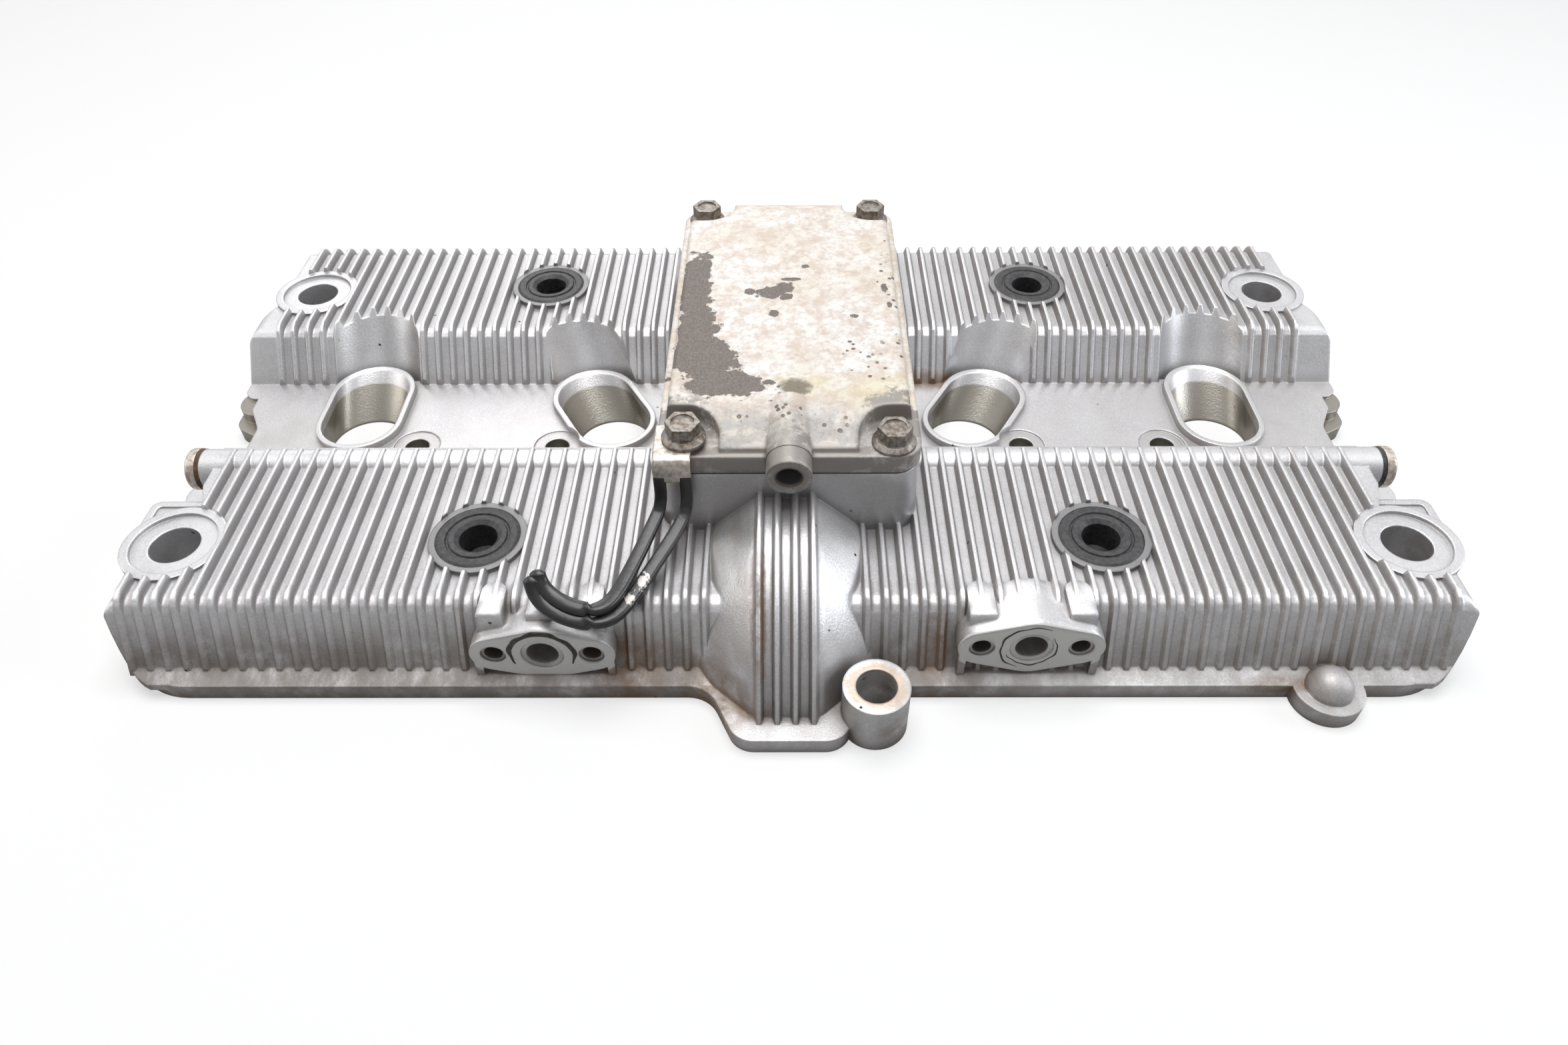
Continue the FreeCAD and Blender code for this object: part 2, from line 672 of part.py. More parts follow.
WELLS = (("outer", q.well_x_outer, as_size(0.0)), ("inner", q.well_x_inner, q.well_turn))
scallops = []
for word, x, turn in WELLS:
    scallops += both("scallop_" + word, leaning_cylinder("scallop_" + word, x, q.scallop_r, turn))

# Parts that both halves share: gallery, valley floor, end boxes, lobes and bosses.
gallery = cylinder("gallery", 0, q.gallery_y, q.gallery_z, q.gallery_r, q.gallery_end_x, "X")
gallery_foot = box("gallery_foot", 0, q.gallery_end_x - 2.0, q.gallery_y - 3.0,
                   q.front_inner_y - 0.6, q.flange_thickness, q.gallery_z)
valley_plan = [
    (0, q.front_inner_y - 1.0),
    (q.valley_end_x + 4.0, q.front_inner_y - 1.0, 3.0),
    (q.valley_end_x - 0.4, -14.0, 6.0),
    (q.valley_end_x - 0.4, 4.0, 6.0),
    (q.valley_end_x + 5.0, 14.0, 3.0),
    (q.valley_end_x + 5.0, 30.0),
    (0, 30.0),
]
valley = extrude("valley_half", outline("valley_plan", "XY", 1.0, valley_plan),
                 q.valley_z - 1.0)
end_box_plan = [
    (160.0, q.end_box_front_y),
    (q.end_box_x, q.end_box_front_y),
    (q.end_box_x, q.end_box_rear_y, 4.0),
    (160.0, q.end_box_rear_y),
]
end_box = extrude("end_box", outline("end_box_plan", "XY", 2.0, end_box_plan),
                  q.end_box_z - 2.0, as_size(-4.0))
bead_inset = (q.end_box_z - 2.0) * tangent(as_size(4.0))
bead_plan = [
    (160.0, q.end_box_rear_y - bead_inset),
    (160.0, q.end_box_rear_y - bead_inset - 2.2),
    (q.end_box_x - bead_inset - 2.2, q.end_box_rear_y - bead_inset - 2.2, 1.2),
    (q.end_box_x - bead_inset - 2.2, q.end_box_front_y + 1.5),
    (q.end_box_x - bead_inset, q.end_box_front_y + 1.5),
    (q.end_box_x - bead_inset, q.end_box_rear_y - bead_inset, 2.9),
]
bead = extrude("end_bead", outline("bead_plan", "XY", q.end_box_z - 1.0, bead_plan),
               q.bead)
lobes = []
for word, y in (("front", q.lobe_front_y), ("rear", q.lobe_rear_y)):
    lobes.append(cylinder("lobe_" + word, q.lobe_x, y, 0, q.lobe_r, q.valley_z - 1.0))
bosses = []
for word, y in (("front", q.corner_front_y), ("rear", q.corner_rear_y)):
    bosses.append(cylinder("corner_boss_" + word, q.corner_hole_x, y, 0, q.corner_boss_r,
                           q.corner_boss_z))
for word, y in (("front", q.bank_front_y), ("rear", q.bank_rear_y)):
    bosses.append(cylinder("bank_boss_" + word, q.bank_hole_x, y, 2.0, q.bank_boss_r,
                           q.bank_boss_z - 2.0))
half = fuse("right_half", [flange, front_bank, gallery, gallery_foot, valley, end_box, bead]
            + lobes + bosses)


# Fins: a trapezoid swept over each bank and repeated along the cover.
def fin_profile(body, name, level, base_z, height):
    """Trapezoid of one fin, standing on a plane of constant Y."""
    half_base = q.fin_base / 2.0
    half_crest = q.fin_crest / 2.0
    chain = [
        (-half_base, base_z - q.fin_sink),
        (half_base, base_z - q.fin_sink),
        (half_crest, base_z + height),
        (-half_crest, base_z + height),
    ]
    return body_sketch(body, name, "XZ_Plane", -as_size(level), chain)


def fin_path(body, name, nodes):
    """Open path of a fin in the plane X = 0."""
    sketch = body.newObject("Sketcher::SketchObject", name)
    sketch.AttachmentSupport = [(plane_of(body, "YZ_Plane"), "")]
    sketch.MapMode = "FlatFace"
    draw(sketch, nodes, closed=False)
    return sketch


def sweep(body, name, profile, path):
    """Sweep a profile along a path."""
    pipe = body.newObject("PartDesign::AdditivePipe", name)
    pipe.Profile = profile
    pipe.Spine = (path, [""])
    return pipe


def fin_row(name, paths, side, first, phase, count):
    """A body with one fin, repeated along X on one side of the cover."""
    body = doc.addObject("PartDesign::Body", name)
    pipes = []
    for index, (level, nodes) in enumerate(paths):
        path = fin_path(body, "%s_path_%d" % (name, index), nodes)
        profile = fin_profile(body, "%s_profile_%d" % (name, index), level, q.top_z,
                              q.fin_height)
        pipes.append(sweep(body, "%s_sweep_%d" % (name, index), profile, path))
    row = body.newObject("PartDesign::LinearPattern", name + "_row")
    row.Originals = pipes
    row.Direction = (plane_of(body, "X_Axis"), [""])
    row.Reversed = side < 0
    bind(row, "Length", q.fin_pitch * (count - 1))
    bind(row, "Occurrences", count)
    body.Tip = row
    bind(body, "Placement.Base.x", q.fin_shift + side * (q.fin_pitch * first + phase))
    return body


wall_slope = (q.front_foot_y - q.front_top_y) / (q.top_z - q.foot_z)
fin_end_z = q.flange_thickness - 0.2
front_low_y = q.front_top_y + wall_slope * (q.top_z - fin_end_z)
rear_low_y = q.rear_top_y - wall_slope * (q.top_z - fin_end_z)
inner_slope = (q.rear_inner_top_y - q.rear_inner_foot_y) / (q.top_z - q.valley_z)
inner_low_z = q.valley_z - 0.3
inner_low_y = q.rear_inner_foot_y - inner_slope * 0.3


def front_path(start_y):
    """Path of a front fin from its rear end to the flange."""
    return ([(start_y, q.top_z)]
            + eased(q.front_top_y, q.top_z, q.edge_round, wall_angle, -1.0)
            + [(front_low_y, fin_end_z)])


rear_paths = [
    (q.rear_fin_split_y, [(q.rear_fin_split_y, q.top_z)]
     + eased(q.rear_inner_top_y, q.top_z, q.edge_round, inner_angle, -1.0)
     + [(inner_low_y, inner_low_z)]),
    (q.rear_fin_split_y, [(q.rear_fin_split_y, q.top_z)]
     + eased(q.rear_top_y, q.top_z, q.edge_round, wall_angle, 1.0)
     + [(rear_low_y, fin_end_z)]),
]
front_fins = []
rear_fins = []
for word, side in (("left", -1.0), ("right", 1.0)):
    front_fins.append(fin_row("front_fins_" + word,
                              [(q.gallery_fin_end_y, front_path(q.gallery_fin_end_y))],
                              side, q.front_fin_first, q.front_fin_phase, q.front_fin_count))
    front_fins.append(fin_row("corner_fins_" + word,
                              [(q.corner_fin_start_y, front_path(q.corner_fin_start_y))],
                              side, q.front_fin_first + q.front_fin_count, q.front_fin_phase,
                              q.corner_fin_count))
    rear_fins.append(fin_row("rear_fins_" + word, rear_paths, side, q.rear_fin_first,
                             q.rear_fin_phase, q.rear_fin_count))

# Breather chamber with its drafted walls.
tower_grow = (q.joint_z - 2.0) * tangent(q.tower_draft)
tower_plan = [
    (-q.tower_half - tower_grow, q.tower_front_y - tower_grow, q.tower_round + tower_grow),
    (q.tower_half + tower_grow, q.tower_front_y - tower_grow, q.tower_round + tower_grow),
    (q.tower_half + tower_grow, q.tower_rear_y + tower_grow, q.tower_round + tower_grow),
    (-q.tower_half - tower_grow, q.tower_rear_y + tower_grow, q.tower_round + tower_grow),
]
tower = extrude("tower", outline("tower_plan", "XY", 2.0, tower_plan), q.joint_z - 2.0,
                -q.tower_draft)


# Humps: a crown and conical flanks turned about a cross axis, with four fins.
def turned(name, side, *chains):
    """Turn chains drawn over the hump axis about that axis, upper half only."""
    sketch = outline(name + "_profile", "XZ", side * q.hump_y, *chains)
    solid = doc.addObject("Part::Revolution", name)
    solid.Source = sketch
    solid.Axis = V(1, 0, 0)
    solid.Solid = True
    solid.Angle = 180.0
    solid.Symmetric = True
    bind(solid, "Base.y", side * q.hump_y)
    bind(solid, "Base.z", q.hump_z)
    return solid


hump_nodes = [
    (q.hump_shift - q.hump_foot_half, q.hump_z + 4.0),
    (q.hump_shift + q.hump_foot_half, q.hump_z + 4.0),
    (q.hump_shift + q.hump_foot_half, q.hump_z + q.hump_foot_r),
    (q.hump_shift + q.hump_half, q.hump_z + q.hump_r, q.hump_round),
    (q.hump_shift - q.hump_half, q.hump_z + q.hump_r, q.hump_round),
    (q.hump_shift - q.hump_foot_half, q.hump_z + q.hump_foot_r),
]
hump_fin_chains = []
for step in (-1.5, -0.5, 0.5, 1.5):
    middle = q.hump_shift + q.hump_fin_pitch * step
    low = q.hump_z + q.hump_r - q.fin_sink
    high = q.hump_z + q.hump_r + q.hump_fin_height
    hump_fin_chains.append([
        (middle - q.fin_base / 2.0, low),
        (middle + q.fin_base / 2.0, low),
        (middle + q.fin_crest / 2.0, high),
        (middle - q.fin_crest / 2.0, high),
    ])
humps = []
hump_fins = []
for word, side in (("front", -1.0), ("rear", 1.0)):
    humps.append(turned("hump_" + word, side, hump_nodes))
    hump_fins.append(turned("hump_fins_" + word, side, *hump_fin_chains))


# Pipe flanges: a three-lobed plate on the front wall, lobes behind it and webs below.
pipe_plates = []
pipe_lobes = []
pipe_webs = []


def pipe_flange(word, x, z):
    """Solids of one pipe flange."""
    lean = (q.pipe_centre_r - q.pipe_ear_r) / q.pipe_ear_x
    level = root(1.0 - lean * lean)
    tip = q.pipe_ear_x + q.pipe_ear_r / lean
    peak = q.pipe_centre_r / level
    plate_nodes = [
        (x - tip, z, q.pipe_ear_r),
        (x, z - peak, q.pipe_centre_r),
        (x + tip, z, q.pipe_ear_r),
        (x, z + peak, q.pipe_centre_r),
    ]
    plate = outline("pipe_outline_" + word, "XZ", q.pipe_rear_y, plate_nodes)
    pipe_plates.append(extrude("pipe_plate_" + word, plate, q.pipe_rear_y - q.pipe_face_y))
    for index, shift in enumerate((-1.0, 0.0, 1.0)):
        centre = x + shift * q.pipe_ear_x
        lobe = [
            (centre - q.pipe_lobe_r, q.front_foot_y + 1.0),
            (centre + q.pipe_lobe_r, q.front_foot_y + 1.0),
            (centre + q.pipe_lobe_r, q.pipe_lobe_y + q.pipe_lobe_r, q.pipe_lobe_r - 0.1),
            (centre - q.pipe_lobe_r, q.pipe_lobe_y + q.pipe_lobe_r, q.pipe_lobe_r - 0.1),
        ]
        shape = outline("pipe_lobe_plan_%s_%d" % (word, index), "XY", z, lobe)
        pipe_lobes.append(extrude("pipe_lobe_%s_%d" % (word, index), shape, q.pipe_lobe_z - z,
                                  as_size(-6.0)))
    for index, side in enumerate((-1.0, 1.0)):
        edge = x + side * q.pipe_web_x
        pipe_webs.append(box("pipe_web_%s_%d" % (word, index), edge - q.pipe_web / 2.0,
                             edge + q.pipe_web / 2.0, q.pipe_face_y, q.front_foot_y + 6.0,
                             2.0, z))


PIPES = (("left", q.pipe_left_x, q.pipe_left_z), ("right", q.pipe_right_x, q.pipe_right_z))
for word, x, z in PIPES:
    pipe_flange(word, x, z)

# Round boss beside the front hump and the lug with its dome.
side_boss = cylinder("side_boss", q.boss_x, q.boss_y, 0, q.boss_r, q.boss_z)
lug = cylinder("front_lug", q.lug_x, q.lug_y, 0, q.lug_r, q.flange_thickness)
dome = doc.addObject("Part::Sphere", "front_dome")
locate(dome, q.lug_x, q.lug_y, q.dome_z - q.dome_r)
bind(dome, "Radius", q.dome_r)

# Plug wells: a rim on the valley floor over a tapering shaft with a round lower end.
def obround(name, level, x, turn, radius, length):
    """Slot outline around the round end of a plug well."""
    sketch = doc.addObject("Sketcher::SketchObject", name)
    sketch.Placement = FreeCAD.Placement(V(0, 0, 0), FreeCAD.Rotation(V(0, 0, 1), -number(turn)))
    locate(sketch, x, q.well_y, level)
    half_turn = math.pi
    near = Part.Circle(V(0, 0, 0), V(0, 0, 1), number(radius))
    far = Part.Circle(V(0, number(length), 0), V(0, 0, 1), number(radius))
    arc_near = sketch.addGeometry(Part.ArcOfCircle(near, half_turn, 2 * half_turn))
    right = sketch.addGeometry(Part.LineSegment(V(number(radius), 0, 0),
                                                V(number(radius), number(length), 0)))
    arc_far = sketch.addGeometry(Part.ArcOfCircle(far, 0, half_turn))
    left = sketch.addGeometry(Part.LineSegment(V(-number(radius), number(length), 0),
                                               V(-number(radius), 0, 0)))
    order = (arc_near, right, arc_far, left)
    for index, geometry in enumerate(order):
        follower = order[(index + 1) % len(order)]
        sketch.addConstraint(Sketcher.Constraint("Tangent", geometry, 2, follower, 1))
    pin(sketch, arc_near, 3, 0, 0)
    pin(sketch, arc_far, 3, 0, length)
    rule = sketch.addConstraint(Sketcher.Constraint("Radius", arc_near, number(radius)))
    sketch.setExpression("Constraints[%d]" % rule, words(radius))
    return sketch


def well(word, x, turn, grow, low, high):
    """Shaft of a plug well between two levels, wider by a wall all around."""
    bottom = obround("well_bottom_" + word, low, x, turn, q.well_r + grow, q.well_flat)
    top = obround("well_top_" + word, high, x, turn, q.well_r + grow, q.well_length)
    shaft = doc.addObject("Part::Loft", "well_" + word)
    shaft.Sections = [bottom, top]
    shaft.Solid = True
    shaft.Ruled = True
    return shaft


rims = []
shafts = []
columns = []
for word, x, turn in WELLS:
    rim = extrude("rim_" + word, obround("rim_plan_" + word, 2.0, x, turn,
                                         q.well_r + q.well_wall, q.well_length),
                  q.well_rim_z - 2.0)
    rims += both("rim_" + word, rim)
    shafts += both("shaft_" + word, well("shaft_" + word, x, turn, 0, as_size(-0.8),
                                         q.well_rim_z + 0.2))
    columns += both("tube_" + word, well("tube_" + word, x, turn, q.well_wall + 1.0,
                                         as_size(-2.0), q.well_rim_z))
    sleeve = leaning_cylinder("sleeve_" + word, x, q.scallop_r + q.wall, turn)
    clip = box("sleeve_clip_" + word, 0, q.end_bulge_x + 20.0, q.rear_inner_foot_y - 12.0,
               q.rear_edge_y, q.flange_thickness, q.joint_z)
    columns += both("sleeve_" + word, common("sleeve_part_" + word, [sleeve, clip]))

# Hollow under the banks and the valley, less the columns, tubes and sleeves in it.
hollow_side = [
    (q.hollow_front_y, -q.over),
    (q.hollow_front_y, q.flange_thickness),
    (q.front_top_y + 3.1, q.top_z - q.wall),
    (q.front_inner_y - q.wall, q.top_z - q.wall),
    (q.front_inner_y - q.wall, q.valley_z - q.wall),
    (q.rear_inner_foot_y + 2.0, q.valley_z - q.wall),
    (q.rear_inner_top_y + 2.0, q.top_z - q.wall),
    (q.rear_top_y - 3.1, q.top_z - q.wall),
    (q.hollow_rear_y, q.flange_thickness),
    (q.hollow_rear_y, -q.over),
]
hollow_plan = [
    (-q.hollow_end_x, q.hollow_front_y - 1.0, 12.0),
    (q.hollow_end_x, q.hollow_front_y - 1.0, 12.0),
    (q.hollow_end_x, q.hollow_rear_y + 1.0, 12.0),
    (-q.hollow_end_x, q.hollow_rear_y + 1.0, 12.0),
]
hollow_bank = common("hollow_bank", [
    extrude("hollow_side", outline("hollow_profile", "YZ", -q.end_bulge_x, hollow_side),
            q.end_bulge_x * 2.0),
    extrude("hollow_plan", outline("hollow_outline", "XY", -q.over, hollow_plan),
            q.top_z),
])
under_floor_z = q.chamber_floor_z - q.chamber_floor_thickness
hollow_tower_plan = [
    (-q.tower_half + q.chamber_inset, q.tower_front_y + q.chamber_inset, 5.0),
    (q.tower_half - q.chamber_inset, q.tower_front_y + q.chamber_inset, 5.0),
    (q.tower_half - q.chamber_inset, q.tower_rear_y - q.chamber_inset, 5.0),
    (-q.tower_half + q.chamber_inset, q.tower_rear_y - q.chamber_inset, 5.0),
]
hollow_tower = extrude("hollow_tower", outline("hollow_tower_plan", "XY", -q.over,
                                               hollow_tower_plan), under_floor_z + q.over)
hump_hollow_nodes = [
    (q.hump_shift - q.hump_foot_half + q.wall, q.hump_z + 5.0),
    (q.hump_shift + q.hump_foot_half - q.wall, q.hump_z + 5.0),
    (q.hump_shift + q.hump_foot_half - q.wall, q.hump_z + q.hump_foot_r - 2.6),
    (q.hump_shift + q.hump_half - 1.4, q.hump_z + q.hump_r - q.wall, 3.0),
    (q.hump_shift - q.hump_half + 1.4, q.hump_z + q.hump_r - q.wall, 3.0),
    (q.hump_shift - q.hump_foot_half + q.wall, q.hump_z + q.hump_foot_r - 2.6),
]
hump_hollows = []
for word, side in (("front", -1.0), ("rear", 1.0)):
    turned_hollow = turned("hump_hollow_" + word, side, hump_hollow_nodes)
    near = side * (q.hump_y + 2.0)
    far = side * q.hump_edge_y
    span = (far, near) if side < 0 else (near, far)
    outside = box("hump_span_" + word, -q.tower_half, q.tower_half, span[0], span[1],
                  -q.over, q.joint_z)
    hump_hollows.append(common("hump_void_" + word, [turned_hollow, outside]))
hollow = fuse("hollow", [hollow_bank, hollow_tower])

keep = list(columns)
for word, y in (("front", q.corner_front_y), ("rear", q.corner_rear_y)):
    keep += both("corner_column_" + word, cylinder("corner_column_" + word, q.corner_hole_x, y,
                                                   -2.0, q.corner_column_r, q.joint_z))
for word, y in (("front", q.bank_front_y), ("rear", q.bank_rear_y)):
    keep += both("bank_column_" + word, cylinder("bank_column_" + word, q.bank_hole_x, y, -2.0,
                                                 q.bank_boss_r, q.joint_z))
for word, x in (("inner", q.valley_hole_x_inner), ("outer", q.valley_hole_x_outer)):
    keep += both("valley_column_" + word, cylinder("valley_column_" + word, x, q.valley_hole_y,
                                                   -2.0, q.valley_seat_r, q.joint_z))
keep.append(box("chamber_floor_keep", -q.tower_half, q.tower_half, q.tower_front_y,
                q.tower_rear_y, under_floor_z, q.joint_z))
hollow_tool = cut("hollow_tool", hollow, fuse("hollow_keep", keep))

# Chamber above its floor: bosses for the cover bolts and posts for the baffle plate.
chamber_plan = [
    (-q.tower_half + q.chamber_inset, q.tower_front_y + q.chamber_inset, 5.0),
    (q.tower_half - q.chamber_inset, q.tower_front_y + q.chamber_inset, 5.0),
    (q.tower_half - q.chamber_inset, q.tower_rear_y - q.chamber_inset, 5.0),
    (-q.tower_half + q.chamber_inset, q.tower_rear_y - q.chamber_inset, 5.0),
]
chamber_block = extrude("chamber_block", outline("chamber_plan", "XY", q.chamber_floor_z,
                                                 chamber_plan), q.joint_z)
chamber_keep = []
for word, y in (("front", q.bolt_front_y), ("rear", q.bolt_rear_y)):
    chamber_keep += both("bolt_boss_" + word, cylinder("bolt_boss_" + word, q.bolt_x, y,
                                                       q.bolt_boss_z, q.bolt_boss_r,
                                                       q.joint_z - q.bolt_boss_z))
baffle_posts = []
for word, side in (("front", -1.0), ("rear", 1.0)):
    baffle_posts.append(cylinder("baffle_post_" + word, 0,
                                 q.baffle_centre_y + side * q.baffle_screw_y,
                                 under_floor_z + 1.0, q.baffle_boss_r,
                                 q.baffle_z - under_floor_z - 1.0))
chamber = cut("chamber", chamber_block, fuse("chamber_keep", chamber_keep + baffle_posts))

# Holes and machined seats, gathered in two groups of tools that do not touch.
def mirrored_rows(name, x, rows, bottom, radius, height):
    """Equal vertical tools on both sides of the cover, one pair a row."""
    tools = []
    for index, y in enumerate(rows):
        tools += both("%s_%d" % (name, index),
                      cylinder("%s_%d" % (name, index), x, y, bottom, radius, height))
    return tools


corner_rows = (q.corner_front_y, q.corner_rear_y)
bank_rows = (q.bank_front_y, q.bank_rear_y)
bolt_rows = (q.bolt_front_y, q.bolt_rear_y)
seat_r = q.grommet_r + q.grommet_gap
holes = list(shafts)
holes += mirrored_rows("corner_hole", q.corner_hole_x, corner_rows, -q.over, q.corner_hole_r,
                       q.joint_z)
holes += mirrored_rows("bank_hole", q.bank_hole_x, bank_rows, -q.over, q.bank_hole_r, q.joint_z)
holes += mirrored_rows("bolt_thread", q.bolt_x, bolt_rows, q.joint_z - q.thread_depth,
                       q.bolt_shank_r, q.thread_depth + q.over)
seats = mirrored_rows("corner_seat", q.corner_hole_x, corner_rows, q.corner_seat_z,
                      q.corner_seat_r, q.joint_z)
seats += mirrored_rows("bank_seat", q.bank_hole_x, bank_rows, q.bank_seat_z, seat_r, q.joint_z)
for word, x in (("inner", q.valley_hole_x_inner), ("outer", q.valley_hole_x_outer)):
    holes += mirrored_rows("valley_hole_" + word, x, (q.valley_hole_y,), -q.over,
                           q.valley_hole_r, q.joint_z)
    seats += mirrored_rows("valley_seat_" + word, x, (q.valley_hole_y,),
                           q.valley_z - q.valley_seat_depth, q.valley_seat_r, 3.0)
for word, x, z in PIPES:
    holes.append(cylinder("pipe_bore_" + word, x, q.pipe_face_y - q.over, z, q.pipe_bore_r,
                          18.0, "Y"))
    seats.append(cylinder("pipe_ring_" + word, x, q.pipe_face_y - q.over, z, q.pipe_ring_r,
                          q.pipe_ring_depth + q.over, "Y"))
    for index, side in enumerate((-1.0, 1.0)):
        centre = x + side * q.pipe_ear_x
        holes.append(cylinder("pipe_thread_%s_%d" % (word, index), centre,
                              q.pipe_face_y - q.over, z, q.pipe_thread_r,
                              q.pipe_thread_depth + q.over, "Y"))
        seats.append(cylinder("pipe_sink_%s_%d" % (word, index), centre,
                              q.pipe_face_y - q.over, z, q.pipe_sink_r,
                              q.pipe_sink_depth + q.over, "Y"))
for word, side in (("front", -1.0), ("rear", 1.0)):
    holes.append(cylinder("baffle_thread_" + word, 0,
                          q.baffle_centre_y + side * q.baffle_screw_y,
                          q.baffle_z - q.screw_length, q.screw_r, q.screw_length + q.over))
for word, y in (("front", q.drain_front_y), ("rear", q.drain_rear_y)):
    slot = [
        (-q.drain_half, y - q.drain_length / 2.0, 6.0),
        (q.drain_half, y - q.drain_length / 2.0, 6.0),
        (q.drain_half, y + q.drain_length / 2.0, 6.0),
        (-q.drain_half, y + q.drain_length / 2.0, 6.0),
    ]
    holes.append(extrude("drain_" + word, outline("drain_plan_" + word, "XY",
                                                  under_floor_z - 1.0, slot),
                         q.chamber_floor_thickness + 2.0))
holes.append(cylinder("side_boss_hole", q.boss_x, q.boss_y, -q.over, q.boss_hole_r, q.joint_z))
gallery_bore = cylinder("gallery_bore", -q.gallery_end_x - q.over, q.gallery_y, q.gallery_z,
                        q.gallery_bore_r, (q.gallery_end_x + q.over) * 2.0, "X")
ground = box("below_joint_face", -q.end_bulge_x * 2.0, q.end_bulge_x * 2.0,
             -q.hump_edge_y * 2.0, q.hump_edge_y * 2.0, -q.joint_z * 2.0, 0)

# Put the casting together: the plain body first, then its hollows and holes, then the fins.
scallop_tool = fuse("scallop_tool", scallops)
rear_cut = cut("rear_scalloped", fuse("rear_banks", both("rear_bank", rear_bank)), scallop_tool)
banks = fuse("banks", both("right_half", half) + [rear_cut])
outer = join("outer", banks, [
    tower,
    group("boss_and_lug", [side_boss, lug]),
    group("humps_and_dome", humps + [dome]),
    group("plates_and_rims", pipe_plates + rims),
    group("pipe_lobes", pipe_lobes),
    group("pipe_webs", pipe_webs),
])
hollowed = carve("hollowed", outer, [ground, chamber, group("hump_voids", hump_hollows),
                                     hollow_tool])
drilled = carve("drilled", hollowed, [group("through_holes", holes), group("seats", seats),
                                      gallery_bore])

# Fins stop at the bolt bosses, the chamber walls and the tool clearances.
stops = []
for word, y in (("front", q.corner_front_y), ("rear", q.corner_rear_y)):
    stops += both("fin_stop_corner_" + word, cylinder("fin_stop_corner_" + word,
                                                      q.corner_hole_x, y, 0,
                                                      q.corner_boss_r - 0.3, q.joint_z))
for word, y in (("front", q.bank_front_y), ("rear", q.bank_rear_y)):
    stops += both("fin_stop_bank_" + word, cylinder("fin_stop_bank_" + word, q.bank_hole_x, y,
                                                    0, q.bank_boss_r - 0.3, q.joint_z))
for word, x, z in PIPES:
    for index, (shift, radius) in enumerate(((-1.0, q.pipe_ear_r), (0.0, q.pipe_centre_r),
                                             (1.0, q.pipe_ear_r))):
        stops.append(cylinder("fin_stop_pipe_%s_%d" % (word, index), x + shift * q.pipe_ear_x,
                              q.pipe_face_y + q.over / 2.0, z, radius - q.over,
                              q.pipe_rear_y - q.pipe_face_y - q.over, "Y"))
inside = q.tower_half - q.over
stops.append(box("fin_stop_chamber", -inside, inside, q.tower_front_y + q.over,
                 q.tower_rear_y - q.over, 0, q.joint_z))
stops.append(box("fin_stop_below", -q.end_bulge_x, q.end_bulge_x, -q.hump_edge_y * 2.0,
                 q.hump_edge_y * 2.0, -q.joint_z, 3.0))
fin_stops = fuse("fin_stops", stops)
all_fins = cut("fins_trimmed", fuse("fin_set", front_fins + hump_fins), fin_stops)
rear_fins_cut = cut("rear_fins_trimmed", cut("rear_fins_scalloped", fuse("rear_fin_set", rear_fins),
                                             scallop_tool), fin_stops)
head_cover = fuse("head_cover", [drilled, all_fins, rear_fins_cut])
nodes = {"head_cover": head_cover}

# Gasket of the breather cover: a narrow frame with bolt holes.
joint_outer = [
    (-q.tower_half, q.tower_front_y, q.tower_round),
    (q.tower_half, q.tower_front_y, q.tower_round),
    (q.tower_half, q.tower_rear_y, q.tower_round),
    (-q.tower_half, q.tower_rear_y, q.tower_round),
]
chamber_x = q.tower_half - q.chamber_inset
joint_inner = [
    (-chamber_x, q.tower_front_y + q.chamber_inset, 5.0),
    (chamber_x, q.tower_front_y + q.chamber_inset, 5.0),
    (chamber_x, q.tower_rear_y - q.chamber_inset, 5.0),
    (-chamber_x, q.tower_rear_y - q.chamber_inset, 5.0),
]
frame = extrude("gasket_frame", outline("gasket_outline", "XY", q.joint_z, joint_outer),
                q.gasket_thickness)
window = extrude("gasket_window", outline("gasket_window_outline", "XY", q.joint_z - q.over,
                                          joint_inner), q.gasket_thickness + q.over * 2.0)
gasket_pads = []
gasket_holes = []
for word, y in (("front", q.bolt_front_y), ("rear", q.bolt_rear_y)):
    gasket_pads += both("gasket_pad_" + word, cylinder("gasket_pad_" + word, q.bolt_x, y,
                                                       q.joint_z, q.bolt_boss_r,
                                                       q.gasket_thickness))
    gasket_holes += both("gasket_hole_" + word, cylinder("gasket_hole_" + word, q.bolt_x, y,
                                                         q.joint_z - q.over, q.bolt_hole_r,
                                                         q.cover_flange))
nodes["breather_gasket"] = cut("breather_gasket",
                               fuse("gasket_whole", [cut("gasket_ring", frame, window)]
                                    + gasket_pads), fuse("gasket_tools", gasket_holes))

